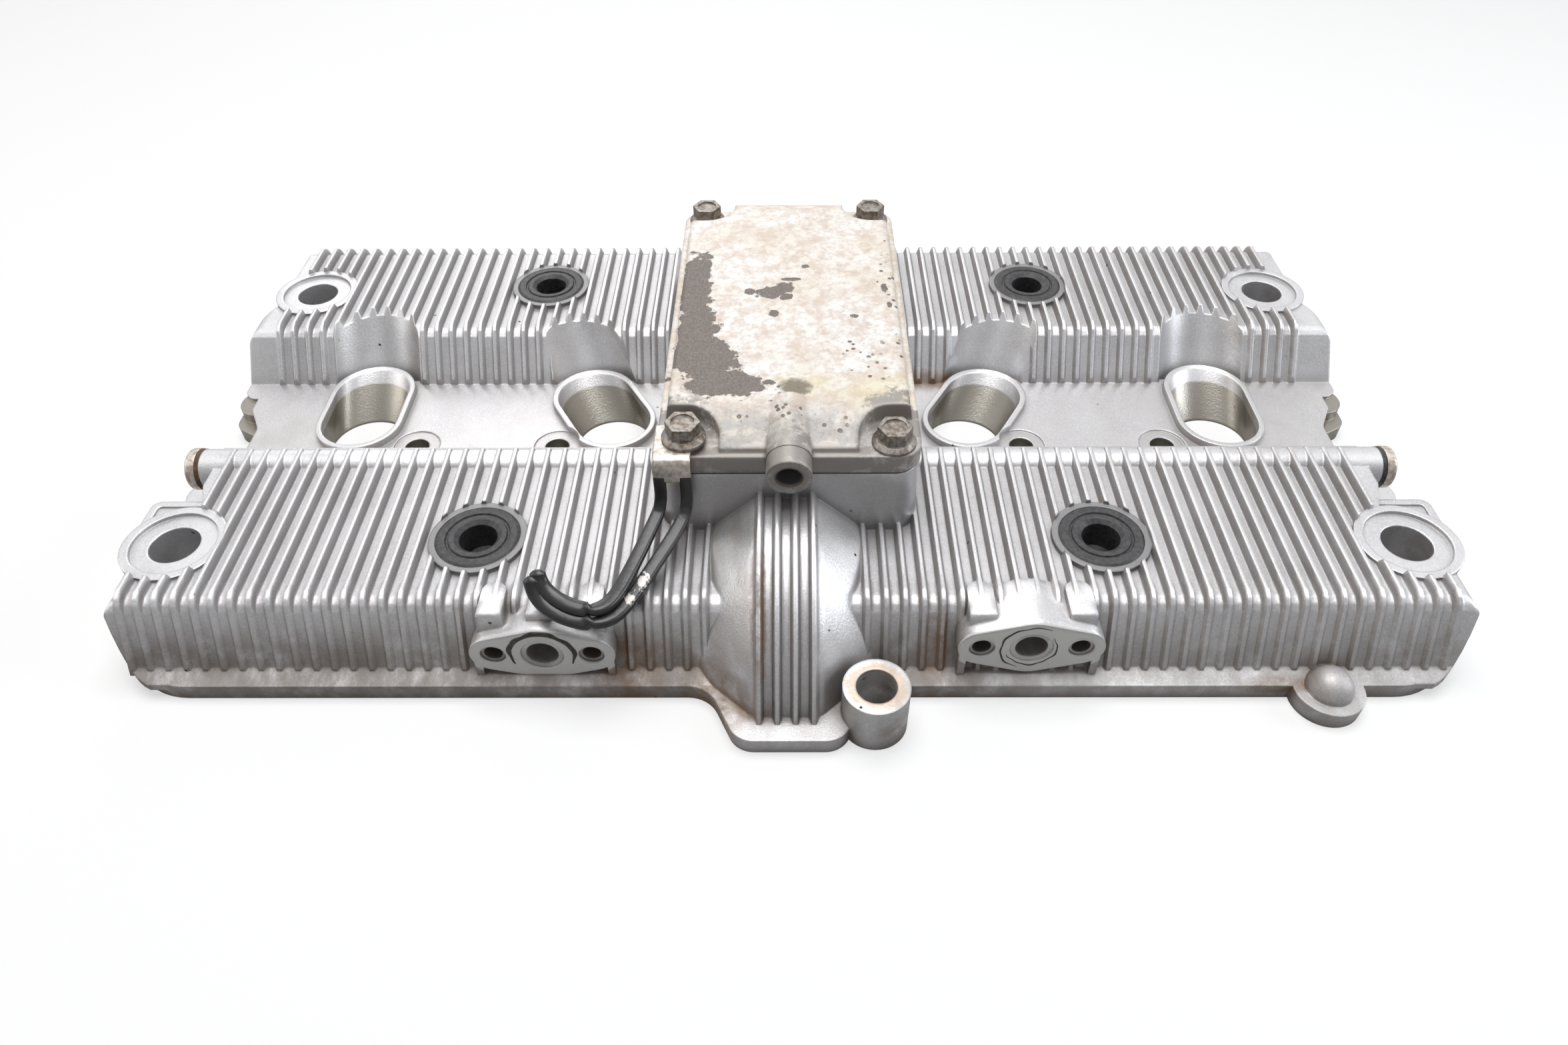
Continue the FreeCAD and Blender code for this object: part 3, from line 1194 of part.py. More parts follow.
# Breather cover: flange, raised top with cut corners, sloping nose and a nipple.
cover_z = q.joint_z + q.gasket_thickness
seat_z = cover_z + q.cover_flange
lip = q.cover_lip
cover_outline = [
    (-q.tower_half - lip, q.tower_front_y - lip, q.tower_round),
    (q.tower_half + lip, q.tower_front_y - lip, q.tower_round),
    (q.tower_half + lip, q.tower_rear_y + lip, q.tower_round),
    (-q.tower_half - lip, q.tower_rear_y + lip, q.tower_round),
]
cover_body = doc.addObject("PartDesign::Body", "cover_body")
plate = cover_body.newObject("PartDesign::Pad", "cover_flange_pad")
plate.Profile = body_sketch(cover_body, "cover_flange_sketch", "XY_Plane", cover_z,
                            cover_outline)
bind(plate, "Length", q.cover_flange)
cover_body.Tip = plate
inset = q.cover_inset
top_outline = [
    (-q.tower_half + inset, q.tower_front_y + inset, q.tower_round),
    (q.tower_half - inset, q.tower_front_y + inset, q.tower_round),
    (q.tower_half - inset, q.tower_rear_y - inset, q.tower_round),
    (-q.tower_half + inset, q.tower_rear_y - inset, q.tower_round),
]
raised_sketch = outline("cover_raised_outline", "XY", seat_z - 0.5, top_outline)
raised_block = extrude("cover_raised_block", raised_sketch, q.cover_top_z - seat_z + 0.5,
                       -q.cover_draft)
pad_cuts = []
for word, y in (("front", q.bolt_front_y), ("rear", q.bolt_rear_y)):
    pad_cuts += both("pad_round_" + word, cylinder("pad_round_" + word, q.bolt_x, y,
                                                   seat_z - q.over, q.bolt_pad_r,
                                                   q.cover_top_z))
    if word == "front":
        edge = (q.tower_front_y - q.over * 2.0, y)
    else:
        edge = (y, q.tower_rear_y + q.over * 2.0)
    side_cut = box("pad_side_" + word, q.bolt_x, q.tower_half + q.over * 2.0,
                   as_size(y) - q.bolt_pad_r if word == "rear" else edge[0],
                   edge[1] if word == "rear" else as_size(y) + q.bolt_pad_r,
                   seat_z - q.over, q.cover_top_z + q.over)
    end_cut = box("pad_end_" + word, q.bolt_x - q.bolt_pad_r, q.tower_half + q.over * 2.0,
                  edge[0], edge[1], seat_z - q.over, q.cover_top_z + q.over)
    pad_cuts += both("pad_side_" + word, side_cut) + both("pad_end_" + word, end_cut)
cover_side = [
    (q.tower_front_y, seat_z - q.over),
    (q.tower_front_y, q.cover_nose_z),
    (q.cover_slope_y, q.cover_top_z, 8.0),
    (q.tower_rear_y - 9.0, q.cover_top_z, 6.0),
    (q.tower_rear_y, q.cover_tail_z),
    (q.tower_rear_y, seat_z - q.over),
]
cover_view = [
    (-q.tower_half, seat_z - q.over),
    (q.tower_half, seat_z - q.over),
    (q.tower_half, seat_z + 0.5),
    (q.tower_half - 2.4, q.cover_top_z, q.cover_round),
    (-q.tower_half + 2.4, q.cover_top_z, q.cover_round),
    (-q.tower_half, seat_z + 0.5),
]
raised = common("cover_raised", [
    raised_block,
    extrude("cover_side", outline("cover_side_outline", "YZ", -q.tower_half, cover_side),
            q.tower_half * 2.0),
    extrude("cover_view", outline("cover_view_outline", "XZ", q.tower_rear_y, cover_view),
            q.tower_rear_y - q.tower_front_y),
])
raised_cut = cut("cover_top", raised, fuse("pad_cuts", pad_cuts))
# The nipple slopes down to its mouth before the front edge.
nipple_turn = FreeCAD.Rotation(V(1, 0, 0), 90 + number(q.nipple_fall))
nipple_tubes = []
for word, radius, length in (("root", q.nipple_root_r, q.nipple_length - q.nipple_free),
                             ("bore", q.nipple_bore_r, q.nipple_length + q.over),
                             ("end", q.nipple_r, q.nipple_length)):
    tube = doc.addObject("Part::Cylinder", "nipple_" + word)
    tube.Placement = FreeCAD.Placement(V(0, 0, 0), nipple_turn)
    locate(tube, 0, q.nipple_root_y, q.nipple_root_z)
    bind(tube, "Radius", radius)
    bind(tube, "Height", length)
    nipple_tubes.append(tube)
nipple_clip = box("nipple_clip", -q.tower_half, q.tower_half, q.tower_front_y - q.tower_round * 2.0,
                  q.nipple_root_y + q.over * 2.0, cover_z, q.joint_z * 2.0)
nipple_in = common("nipple_in_cover", [nipple_tubes[0], nipple_clip])
nipple_front = box("nipple_front", -q.tower_half, q.tower_half,
                   q.tower_front_y - q.tower_round * 2.0, q.tower_front_y - lip,
                   q.joint_z - q.tower_round, q.joint_z * 2.0)
nipple_whole = fuse("nipple_whole", [nipple_tubes[0], nipple_tubes[2]])
nipple_out = common("nipple_out", [nipple_whole, nipple_front])
cover_solid = fuse("cover_solid", [cover_body, raised_cut, nipple_in, nipple_out])
cover_void_plan = [
    (-chamber_x, q.tower_front_y + q.chamber_inset, 5.0),
    (chamber_x, q.tower_front_y + q.chamber_inset, 5.0),
    (chamber_x, q.tower_rear_y - q.chamber_inset, 5.0),
    (-chamber_x, q.tower_rear_y - q.chamber_inset, 5.0),
]
cover_void = extrude("cover_void", outline("cover_void_plan", "XY", cover_z - q.over,
                                           cover_void_plan), q.cover_top_z - cover_z - q.cover_wall
                     + q.over, -q.cover_draft)
void_side = [
    (q.tower_front_y, cover_z - q.over),
    (q.tower_front_y, cover_z + 1.2),
    (q.cover_slope_y, q.cover_top_z - q.cover_wall, 4.0),
    (q.tower_rear_y, q.cover_top_z - q.cover_wall),
    (q.tower_rear_y, cover_z - q.over),
]
void_keep = []
for word, y in (("front", q.bolt_front_y), ("rear", q.bolt_rear_y)):
    void_keep += both("void_keep_" + word, cylinder("void_keep_" + word, q.bolt_x, y,
                                                    cover_z - q.over, q.bolt_pad_r + 2.4,
                                                    q.cover_top_z))
void_keep.append(nipple_tubes[0])
cover_hollow = cut("cover_hollow", common("cover_void_cut", [
    cover_void,
    extrude("void_side", outline("void_side_outline", "YZ", -q.tower_half, void_side),
            q.tower_half * 2.0),
]), fuse("void_keep", void_keep))
cover_holes = [cover_hollow, nipple_tubes[1]]
for word, y in (("front", q.bolt_front_y), ("rear", q.bolt_rear_y)):
    cover_holes += both("cover_hole_" + word, cylinder("cover_hole_" + word, q.bolt_x, y,
                                                       cover_z - q.over, q.bolt_hole_r,
                                                       q.cover_top_z))
mouth = box("nipple_passage", -q.nipple_bore_r, q.nipple_bore_r, q.nipple_root_y - 5.0,
            q.nipple_root_y + 8.0, cover_z - q.over, q.nipple_root_z)
cover_holes.append(mouth)
nodes["breather_cover"] = cut("breather_cover", cover_solid, fuse("cover_tools", cover_holes))


def turned_body(name, chain):
    """A body turned about Z from a half section drawn in the XZ plane."""
    body = doc.addObject("PartDesign::Body", name + "_body")
    turn = body.newObject("PartDesign::Revolution", name + "_turn")
    sketch = body_sketch(body, name + "_section", "XZ_Plane", 0, chain)
    turn.Profile = sketch
    turn.ReferenceAxis = (sketch, ["V_Axis"])
    turn.Angle = 360.0
    body.Tip = turn
    return body


def hexagon(radius):
    """Corners of a hexagon."""
    corners = []
    for step in range(6):
        angle = as_size(60.0 * step)
        corners.append((radius * cosine(angle), radius * sine(angle)))
    return corners


# Flange bolts of the breather cover; the front left one clamps the cable guide.
bolt_spots = (
    ("front_left", -1.0, q.bolt_front_y, seat_z + q.guide_thickness),
    ("front_right", 1.0, q.bolt_front_y, seat_z),
    ("rear_left", -1.0, q.bolt_rear_y, seat_z),
    ("rear_right", 1.0, q.bolt_rear_y, seat_z),
)
for word, side, y, z in bolt_spots:
    name = "breather_bolt_" + word
    shank = q.bolt_shank_r - 0.05
    section = [
        (0, -q.bolt_length + 0.8),
        (shank - 0.8, -q.bolt_length + 0.8),
        (shank, -q.bolt_length + 1.6),
        (shank, 0),
        (q.bolt_flange_r, 0),
        (q.bolt_flange_r, q.bolt_flange_t * 0.6),
        (q.bolt_hex_r, q.bolt_flange_t + 0.5),
        (0, q.bolt_flange_t + 0.5),
    ]
    body = turned_body(name, section)
    head = body.newObject("PartDesign::Pad", name + "_hexagon")
    head.Profile = body_sketch(body, name + "_hexagon_sketch", "XY_Plane", 0,
                               hexagon(q.bolt_hex_r))
    bind(head, "Length", q.bolt_head_z)
    dish = body.newObject("PartDesign::Pocket", name + "_dish")
    dish_sketch = body.newObject("Sketcher::SketchObject", name + "_dish_sketch")
    dish_sketch.AttachmentSupport = [(plane_of(body, "XY_Plane"), "")]
    dish_sketch.MapMode = "FlatFace"
    bind(dish_sketch, "AttachmentOffset.Base.z", q.bolt_head_z)
    ring(dish_sketch, 0, 0, q.bolt_hex_r * 0.66)
    dish.Profile = dish_sketch
    bind(dish, "Length", 0.5)
    body.Tip = dish
    locate(body, side * q.bolt_x, y, z)
    nodes[name] = body

# Rubber grommets in the bank bolt holes.
grommet_low = q.bank_seat_z
step = q.grommet_step
for word_y, y in (("front", q.bank_front_y), ("rear", q.bank_rear_y)):
    for word_x, side in (("left", -1.0), ("right", 1.0)):
        name = "grommet_%s_%s" % (word_y, word_x)
        reach = q.grommet_r - q.grommet_hole_r
        section = [
            (q.grommet_hole_r, grommet_low),
            (q.grommet_r, grommet_low),
            (q.grommet_r, q.grommet_z - step),
            (q.grommet_r - reach * 0.12, q.grommet_z),
            (q.grommet_r - reach * 0.42, q.grommet_z),
            (q.grommet_r - reach * 0.46, q.grommet_z - step),
            (q.grommet_r - reach * 0.54, q.grommet_z - step),
            (q.grommet_r - reach * 0.58, q.grommet_z),
            (q.grommet_r - reach * 0.8, q.grommet_z),
            (q.grommet_hole_r, q.grommet_z - step * 2.0),
        ]
        body = turned_body(name, section)
        locate(body, side * q.bank_hole_x, y, 0)
        nodes[name] = body

# Gallery plugs with their sealing washers, one at each end of the gallery.
for word, side in (("left", -1.0), ("right", 1.0)):
    name = "gallery_plug_washer_" + word
    washer = turned_body(name, [
        (q.plug_stem_r + 0.3, 0),
        (q.washer_r, 0),
        (q.washer_r, q.washer_thickness),
        (q.plug_stem_r + 0.3, q.washer_thickness),
    ])
    washer.Placement = FreeCAD.Placement(V(0, 0, 0), FreeCAD.Rotation(V(0, 1, 0), 90 * side))
    locate(washer, side * q.gallery_end_x, q.gallery_y, q.gallery_z)
    nodes[name] = washer
    name = "gallery_plug_" + word
    top = q.washer_thickness + q.plug_thickness
    section = [
        (0, -q.plug_stem),
        (q.plug_stem_r - 0.6, -q.plug_stem),
        (q.plug_stem_r, -q.plug_stem + 0.6),
        (q.plug_stem_r, q.washer_thickness),
        (q.plug_r, q.washer_thickness),
        (q.plug_r, top, q.plug_round),
        (0, top),
    ]
    body = turned_body(name, section)
    socket = body.newObject("PartDesign::Pocket", name + "_socket")
    socket.Profile = body_sketch(body, name + "_socket_sketch", "XY_Plane", top,
                                 hexagon(as_size(3.0)))
    bind(socket, "Length", q.plug_thickness)
    body.Tip = socket
    body.Placement = FreeCAD.Placement(V(0, 0, 0), FreeCAD.Rotation(V(0, 1, 0), 90 * side))
    locate(body, side * q.gallery_end_x, q.gallery_y, q.gallery_z)
    nodes[name] = body

# Baffle plate on its two posts inside the chamber, with its screws.
baffle_outline = [
    (-q.baffle_half, q.baffle_front_y, 6.0),
    (q.baffle_half, q.baffle_front_y, 6.0),
    (q.baffle_half, q.baffle_rear_y, 6.0),
    (-q.baffle_half, q.baffle_rear_y, 6.0),
]
baffle_plate = extrude("baffle_plate", outline("baffle_outline", "XY", q.baffle_z,
                                               baffle_outline), q.baffle_thickness)
screw_tools = []
for word, side in (("front", -1.0), ("rear", 1.0)):
    y = q.baffle_centre_y + side * q.baffle_screw_y
    screw_tools.append(cylinder("baffle_hole_" + word, 0, y, q.baffle_z - q.over,
                                q.screw_r + q.screw_gap, q.baffle_thickness + q.over * 2.0))
    name = "baffle_screw_" + word
    body = turned_body(name, [
        (0, -q.screw_length + 0.5),
        (q.screw_r - 0.05, -q.screw_length + 0.5),
        (q.screw_r - 0.05, 0),
        (q.screw_head_r, 0),
        (q.screw_head_r, q.screw_head_z, 1.2),
        (0, q.screw_head_z),
    ])
    locate(body, 0, y, q.baffle_z + q.baffle_thickness)
    nodes[name] = body
nodes["breather_baffle"] = cut("breather_baffle", baffle_plate, fuse("baffle_tools", screw_tools))

# Cable guide: a slotted tab bent over the joint and two coated legs that join in a hook.
drop_back = q.guide_drop_y + q.guide_thickness
guide_side = [
    (q.bolt_front_y + 5.6, seat_z),
    (drop_back, seat_z, 0.2),
    (drop_back, q.guide_low_z),
    (q.guide_drop_y, q.guide_low_z),
    (q.guide_drop_y, seat_z + q.guide_thickness, q.guide_bend),
    (q.bolt_front_y + 5.6, seat_z + q.guide_thickness),
]
guide_strap = extrude("guide_strap", outline("guide_side", "YZ", q.guide_x - q.guide_half,
                                             guide_side), q.guide_half * 2.0)
guide_cuts = [
    box("guide_slot", q.guide_x - q.guide_slot_half, q.guide_x + q.guide_slot_half,
        q.guide_drop_y - q.over, drop_back + q.over, q.guide_low_z - q.over,
        q.guide_slot_top_z - q.guide_slot_half),
    cylinder("guide_slot_top", q.guide_x, q.guide_drop_y - q.over,
             q.guide_slot_top_z - q.guide_slot_half, q.guide_slot_half,
             q.guide_thickness + q.over * 2.0, "Y"),
    cylinder("guide_bolt_hole", -q.bolt_x, q.bolt_front_y, seat_z - q.over, q.bolt_hole_r,
             q.guide_thickness + q.over * 2.0),
]
strap = cut("guide_strap_cut", guide_strap, fuse("guide_cuts", guide_cuts))
LEG_LEFT = [(-34.5, -61.7, 38.6), (-34.9, -62.2, 36.6), (-36.0, -65.0, 34.6),
            (-41.2, -80.0, 31.5), (-44.6, -90.0, 30.6), (-47.6, -94.0, 30.6),
            (-52.5, -94.6, 31.0), (-58.5, -92.0, 31.4), (-62.4, -89.4, 32.6),
            (-64.2, -87.2, 34.6), (-64.4, -86.2, 37.2)]
LEG_RIGHT = [(-27.5, -61.7, 38.6), (-27.7, -62.4, 36.4), (-29.2, -66.4, 33.6),
             (-37.6, -82.0, 29.4), (-42.6, -92.0, 28.2), (-46.6, -96.2, 28.2),
             (-52.5, -96.8, 28.6), (-59.5, -94.4, 29.2), (-63.8, -91.4, 30.6),
             (-65.8, -88.8, 32.8), (-66.0, -87.4, 36.2)]
guide_parts = [strap]
for word, points in (("left", LEG_LEFT), ("right", LEG_RIGHT)):
    sections = []
    count = len(points)
    across = V(1, 0, 0)
    for index, point in enumerate(points):
        before = V(*points[max(0, index - 1)])
        after = V(*points[min(count - 1, index + 1)])
        section = doc.addObject("Sketcher::SketchObject", "leg_%s_%d" % (word, index))
        run = (after - before).normalize()
        across = (across - run * across.dot(run)).normalize()
        turn = FreeCAD.Rotation(across, run.cross(across), run, "ZXY")
        section.Placement = FreeCAD.Placement(V(0, 0, 0), turn)
        locate(section, *point)
        ring(section, 0, 0, q.guide_leg_r)
        sections.append(section)
    leg = doc.addObject("Part::Loft", "leg_" + word)
    leg.Sections = sections
    leg.Solid = True
    leg.Ruled = True
    guide_parts.append(leg)
guide_parts.append(cylinder("guide_tip", -65.2, -86.8, 36.0, q.guide_leg_r * 1.35, 1.6))
nodes["cable_guide"] = fuse("cable_guide", guide_parts)

for name, thing in nodes.items():
    thing.Label = name
doc.recompute()
os.makedirs("parts", exist_ok=True)
faults = []
for thing in doc.Objects:
    if "Invalid" in thing.State or "Error" in thing.State:
        faults.append("%s %s" % (thing.Name, thing.State))
for name, thing in nodes.items():
    shape = thing.Shape
    if shape.isNull():
        faults.append("%s is empty" % name)
        continue
    if not shape.isValid() or len(shape.Solids) != 1:
        faults.append("%s is not one valid solid" % name)
    shape.exportStep("parts/%s.step" % name)
    b = shape.BoundBox
    print("%-26s %9.0f mm3  X %.1f..%.1f  Y %.1f..%.1f  Z %.1f..%.1f"
          % (name, shape.Volume, b.XMin, b.XMax, b.YMin, b.YMax, b.ZMin, b.ZMax))
if faults:
    raise RuntimeError("; ".join(faults))
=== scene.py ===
# %% [markdown]
# # A cast engine valve cover, seen from above its front edge
#
# The construction gives one exact solid for every physical piece. This lesson gives
# those pieces their looks: satin cast metal, peeling paint, rubber, grime, and a few
# pieces that are modelled again as smooth surfaces. Everything is in metres in the
# frame of the construction: X along the cover, Y from the front edge to the rear, Z up.

import math

import bpy
import numpy as np
from mathutils import Matrix, Vector


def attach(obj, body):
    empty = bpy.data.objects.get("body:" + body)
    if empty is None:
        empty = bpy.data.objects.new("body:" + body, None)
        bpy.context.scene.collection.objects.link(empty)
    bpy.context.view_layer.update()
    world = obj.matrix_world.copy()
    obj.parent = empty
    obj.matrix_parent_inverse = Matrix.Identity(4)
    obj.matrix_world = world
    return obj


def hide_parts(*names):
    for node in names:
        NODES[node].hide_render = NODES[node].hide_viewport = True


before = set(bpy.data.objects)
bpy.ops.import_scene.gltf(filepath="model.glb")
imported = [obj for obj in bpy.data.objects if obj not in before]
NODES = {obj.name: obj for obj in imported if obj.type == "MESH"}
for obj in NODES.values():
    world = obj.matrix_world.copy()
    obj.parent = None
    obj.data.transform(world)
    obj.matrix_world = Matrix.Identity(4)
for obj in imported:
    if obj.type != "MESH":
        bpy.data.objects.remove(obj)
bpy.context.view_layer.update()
MM = 0.001
print("nodes of the frame:", len(NODES))

# %% [markdown]
# ## The camera
#
# The fins stand at one pitch along the whole cover, so the way that the pitch shrinks
# across the picture gives the lens and the tilt. The eye is 236 mm above the sealing
# face and 271 mm in front of its middle, looks down by 44.6 degrees, and is turned and
# rolled by less than half a degree. Placing it by eye would also work, but only a
# measured camera lets each edge be compared with the picture.

# %% Place the eye
LENS_PIXELS = 1596.0
PICTURE_WIDTH = 2352
SENSOR_WIDTH = 36.0
TILT = 44.6
TURN = 0.39
ROLL = -0.37
EYE = (0.0, -270.8, 236.0)


def place_eye():
    """Camera at EYE, turned about Z, tilted about X and rolled about its own view line."""
    data = bpy.data.cameras.new("eye")
    data.sensor_width = SENSOR_WIDTH
    data.lens = SENSOR_WIDTH * LENS_PIXELS / PICTURE_WIDTH
    data.clip_start = 10.0 * MM
    eye = bpy.data.objects.new("eye", data)
    bpy.context.scene.collection.objects.link(eye)
    turn = Matrix.Rotation(math.radians(TURN), 4, "Z")
    tilt = Matrix.Rotation(math.radians(90.0 - TILT), 4, "X")
    roll = Matrix.Rotation(math.radians(ROLL), 4, "Z")
    eye.matrix_world = Matrix.Translation(Vector(EYE) * MM) @ turn @ tilt @ roll
    bpy.context.scene.camera = eye
    return eye


eye = place_eye()
print("lens in mm:", round(eye.data.lens, 2))

# %% [markdown]
# ## Light
#
# The picture has broad, soft light from above and slightly behind: top planes and fin
# crests are bright, the front wall and the chamber's front are darker. A few large
# square lamps do that with soft shadows. One small lamp would draw hard shadows of
# every fin, and light from the sky alone would leave the form flat.

# %% Hang the lamps
LAMPS = (
    ("lamp_top", (0, 60, 950), 650, 8.0, (1.0, 1.0, 1.0)),
    ("lamp_rear", (-250, 900, 520), 600, 2.0, (1.0, 1.0, 1.0)),
    ("lamp_right", (900, -50, 420), 400, 2.8, (0.88, 0.94, 1.0)),
    ("lamp_left", (-900, -60, 460), 500, 1.6, (1.0, 0.98, 0.95)),
    ("lamp_front", (0, -900, 600), 600, 0.45, (1.0, 1.0, 1.0)),
)


def hang_lamp(name, place, size, power, colour):
    """Square lamp that faces the middle of the cover."""
    data = bpy.data.lights.new(name, "AREA")
    data.shape = "SQUARE"
    data.size = size * MM
    data.energy = power
    data.color = colour
    lamp = bpy.data.objects.new(name, data)
    bpy.context.scene.collection.objects.link(lamp)
    spot = Vector(place) * MM
    facing = (-spot).to_track_quat("-Z", "Y").to_matrix().to_4x4()
    lamp.matrix_world = Matrix.Translation(spot) @ facing


for lamp_facts in LAMPS:
    hang_lamp(*lamp_facts)
bpy.context.scene.view_settings.view_transform = "Standard"
print("lamps:", len(LAMPS))

# %% [markdown]
# ## White room
#
# The background is white, yet no lamp is turned up for it. The camera, mirror-like
# reflections and clear pieces see a sky of strength 1, while diffuse light from the
# same sky is much weaker. The floor is a matt grey plane that gets the missing share
# to white from a glow, so the object's own shadow stays on it. Reflections get only a
# part of that glow: close to the cover a real floor lies in its shade, and a metal
# wall that mirrors a fully white floor loses its form. For the same reason the sky
# that metal mirrors is white behind and above, and dimmer in front of the cover,
# where the room is.

# %% Sky and floor
SKY_LIGHT = 0.07
FLOOR_GLOW = 0.57
FLOOR_IN_METAL = 0.15
FLOOR_GREY = (0.42, 0.42, 0.42)
FLOOR_SIZE = 8.0
FLOOR_DROP = 0.1
SKY_TINT = (0.93, 0.96, 1.0)
ROOM_IN_METAL = 0.32
ROOM_EDGE = (-0.75, 0.1)


def seen_white(tree, in_metal):
    """1 for camera and transmission rays, a share (number or socket) for glossy ones, 0 for light."""
    path = tree.nodes.new("ShaderNodeLightPath")
    mirrored = tree.nodes.new("ShaderNodeMath")
    mirrored.operation = "MULTIPLY"
    if isinstance(in_metal, bpy.types.NodeSocket):
        tree.links.new(in_metal, mirrored.inputs[1])
    else:
        mirrored.inputs[1].default_value = in_metal
    tree.links.new(path.outputs["Is Glossy Ray"], mirrored.inputs[0])
    first = tree.nodes.new("ShaderNodeMath")
    first.operation = "MAXIMUM"
    tree.links.new(path.outputs["Is Camera Ray"], first.inputs[0])
    tree.links.new(mirrored.outputs[0], first.inputs[1])
    second = tree.nodes.new("ShaderNodeMath")
    second.operation = "MAXIMUM"
    tree.links.new(first.outputs[0], second.inputs[0])
    tree.links.new(path.outputs["Is Transmission Ray"], second.inputs[1])
    return second.outputs[0]


def room_share(tree):
    """Smooth step of the sky direction's Y over ROOM_EDGE, from ROOM_IN_METAL in front to 1."""
    direction = tree.nodes.new("ShaderNodeTexCoord")
    split = tree.nodes.new("ShaderNodeSeparateXYZ")
    tree.links.new(direction.outputs["Generated"], split.inputs[0])
    ramp = tree.nodes.new("ShaderNodeMapRange")
    ramp.interpolation_type = "SMOOTHSTEP"
    tree.links.new(split.outputs[1], ramp.inputs["Value"])
    ramp.inputs["From Min"].default_value = ROOM_EDGE[0]
    ramp.inputs["From Max"].default_value = ROOM_EDGE[1]
    ramp.inputs["To Min"].default_value = ROOM_IN_METAL
    ramp.inputs["To Max"].default_value = 1.0
    return ramp.outputs[0]


def make_sky():
    """World that looks white and lights weakly."""
    world = bpy.data.worlds.new("white_room")
    bpy.context.scene.world = world
    world.use_nodes = True
    tree = world.node_tree
    tree.nodes.clear()
    dim = tree.nodes.new("ShaderNodeBackground")
    dim.inputs["Strength"].default_value = SKY_LIGHT
    white = tree.nodes.new("ShaderNodeBackground")
    white.inputs["Color"].default_value = (1.0, 1.0, 1.0, 1.0)
    dim.inputs["Color"].default_value = (*SKY_TINT, 1.0)
    pick = tree.nodes.new("ShaderNodeMixShader")
    out = tree.nodes.new("ShaderNodeOutputWorld")
    tree.links.new(seen_white(tree, room_share(tree)), pick.inputs[0])
    tree.links.new(dim.outputs[0], pick.inputs[1])
    tree.links.new(white.outputs[0], pick.inputs[2])
    tree.links.new(pick.outputs[0], out.inputs["Surface"])


def make_floor():
    """Matt plane under the cover that glows only for the rays that see it."""
    bpy.ops.mesh.primitive_plane_add(size=FLOOR_SIZE, location=(0.0, 0.0, -FLOOR_DROP * MM))
    floor = bpy.context.object
    floor.name = "floor"
    material = bpy.data.materials.new("white_floor")
    material.use_nodes = True
    tree = material.node_tree
    tree.nodes.clear()
    matt = tree.nodes.new("ShaderNodeBsdfDiffuse")
    matt.inputs["Color"].default_value = (*FLOOR_GREY, 1.0)
    glow = tree.nodes.new("ShaderNodeEmission")
    strength = tree.nodes.new("ShaderNodeMath")
    strength.operation = "MULTIPLY"
    strength.inputs[1].default_value = FLOOR_GLOW
    tree.links.new(seen_white(tree, FLOOR_IN_METAL), strength.inputs[0])
    tree.links.new(strength.outputs[0], glow.inputs["Strength"])
    both = tree.nodes.new("ShaderNodeAddShader")
    out = tree.nodes.new("ShaderNodeOutputMaterial")
    tree.links.new(matt.outputs[0], both.inputs[0])
    tree.links.new(glow.outputs[0], both.inputs[1])
    tree.links.new(both.outputs[0], out.inputs["Surface"])
    floor.data.materials.append(material)


make_sky()
make_floor()
print("sky light:", SKY_LIGHT)

# %% [markdown]
# ## Three effects that every finish shares
#
# Mottle is noise of a chosen size in millimetres. A blot is an ellipsoid around a
# place on the cover whose edge is torn by noise: with it a stain or a bare patch goes
# exactly where the picture has it. Flecks are scattered round spots. Each is a node
# group, built once and placed in every material with its own values. Painted images
# could do the same, but they would need files and would blur when seen closely.

# %% Build the shared effects


def new_group(name, inputs, output):
    """Empty node group with named float or vector inputs and one float output."""
    group = bpy.data.node_groups.new(name, "ShaderNodeTree")
    for title, kind, value in inputs:
        socket = group.interface.new_socket(title, in_out="INPUT", socket_type="NodeSocket" + kind)
        if value is not None:
            socket.default_value = value
    group.interface.new_socket(output, in_out="OUTPUT", socket_type="NodeSocketFloat")
    return group, group.nodes.new("NodeGroupInput"), group.nodes.new("NodeGroupOutput")


def step(group, kind, first, second=None, third=None):
    """One arithmetic node of a group; sockets are linked and numbers are set."""
    node = group.nodes.new("ShaderNodeMath")
    node.operation = kind
    for socket, value in zip(node.inputs, (first, second, third)):
        if isinstance(value, bpy.types.NodeSocket):
            group.links.new(value, socket)
        elif value is not None:
            socket.default_value = value
    return node.outputs[0]


def vector_step(group, kind, first, second):
    """One vector node of a group."""
    node = group.nodes.new("ShaderNodeVectorMath")
    node.operation = kind
    group.links.new(first, node.inputs[0])
    group.links.new(second, node.inputs[1])
    return node


def build_mottle():
    """Noise of (place times stretch) divided by size, from 0 to 1."""
    group, source, sink = new_group("mottle", (
        ("Place", "Vector", None), ("Size", "Float", 1.0), ("Stretch", "Vector", (1, 1, 1)),
        ("Detail", "Float", 4.0), ("Roughness", "Float", 0.6)), "Mottle")
    stretched = vector_step(group, "MULTIPLY", source.outputs["Place"], source.outputs["Stretch"])
    noise = group.nodes.new("ShaderNodeTexNoise")
    group.links.new(stretched.outputs[0], noise.inputs["Vector"])
    group.links.new(step(group, "DIVIDE", 1.0, source.outputs["Size"]), noise.inputs["Scale"])
    group.links.new(source.outputs["Detail"], noise.inputs["Detail"])
    group.links.new(source.outputs["Roughness"], noise.inputs["Roughness"])
    group.links.new(noise.outputs["Fac"], sink.inputs[0])
    return group


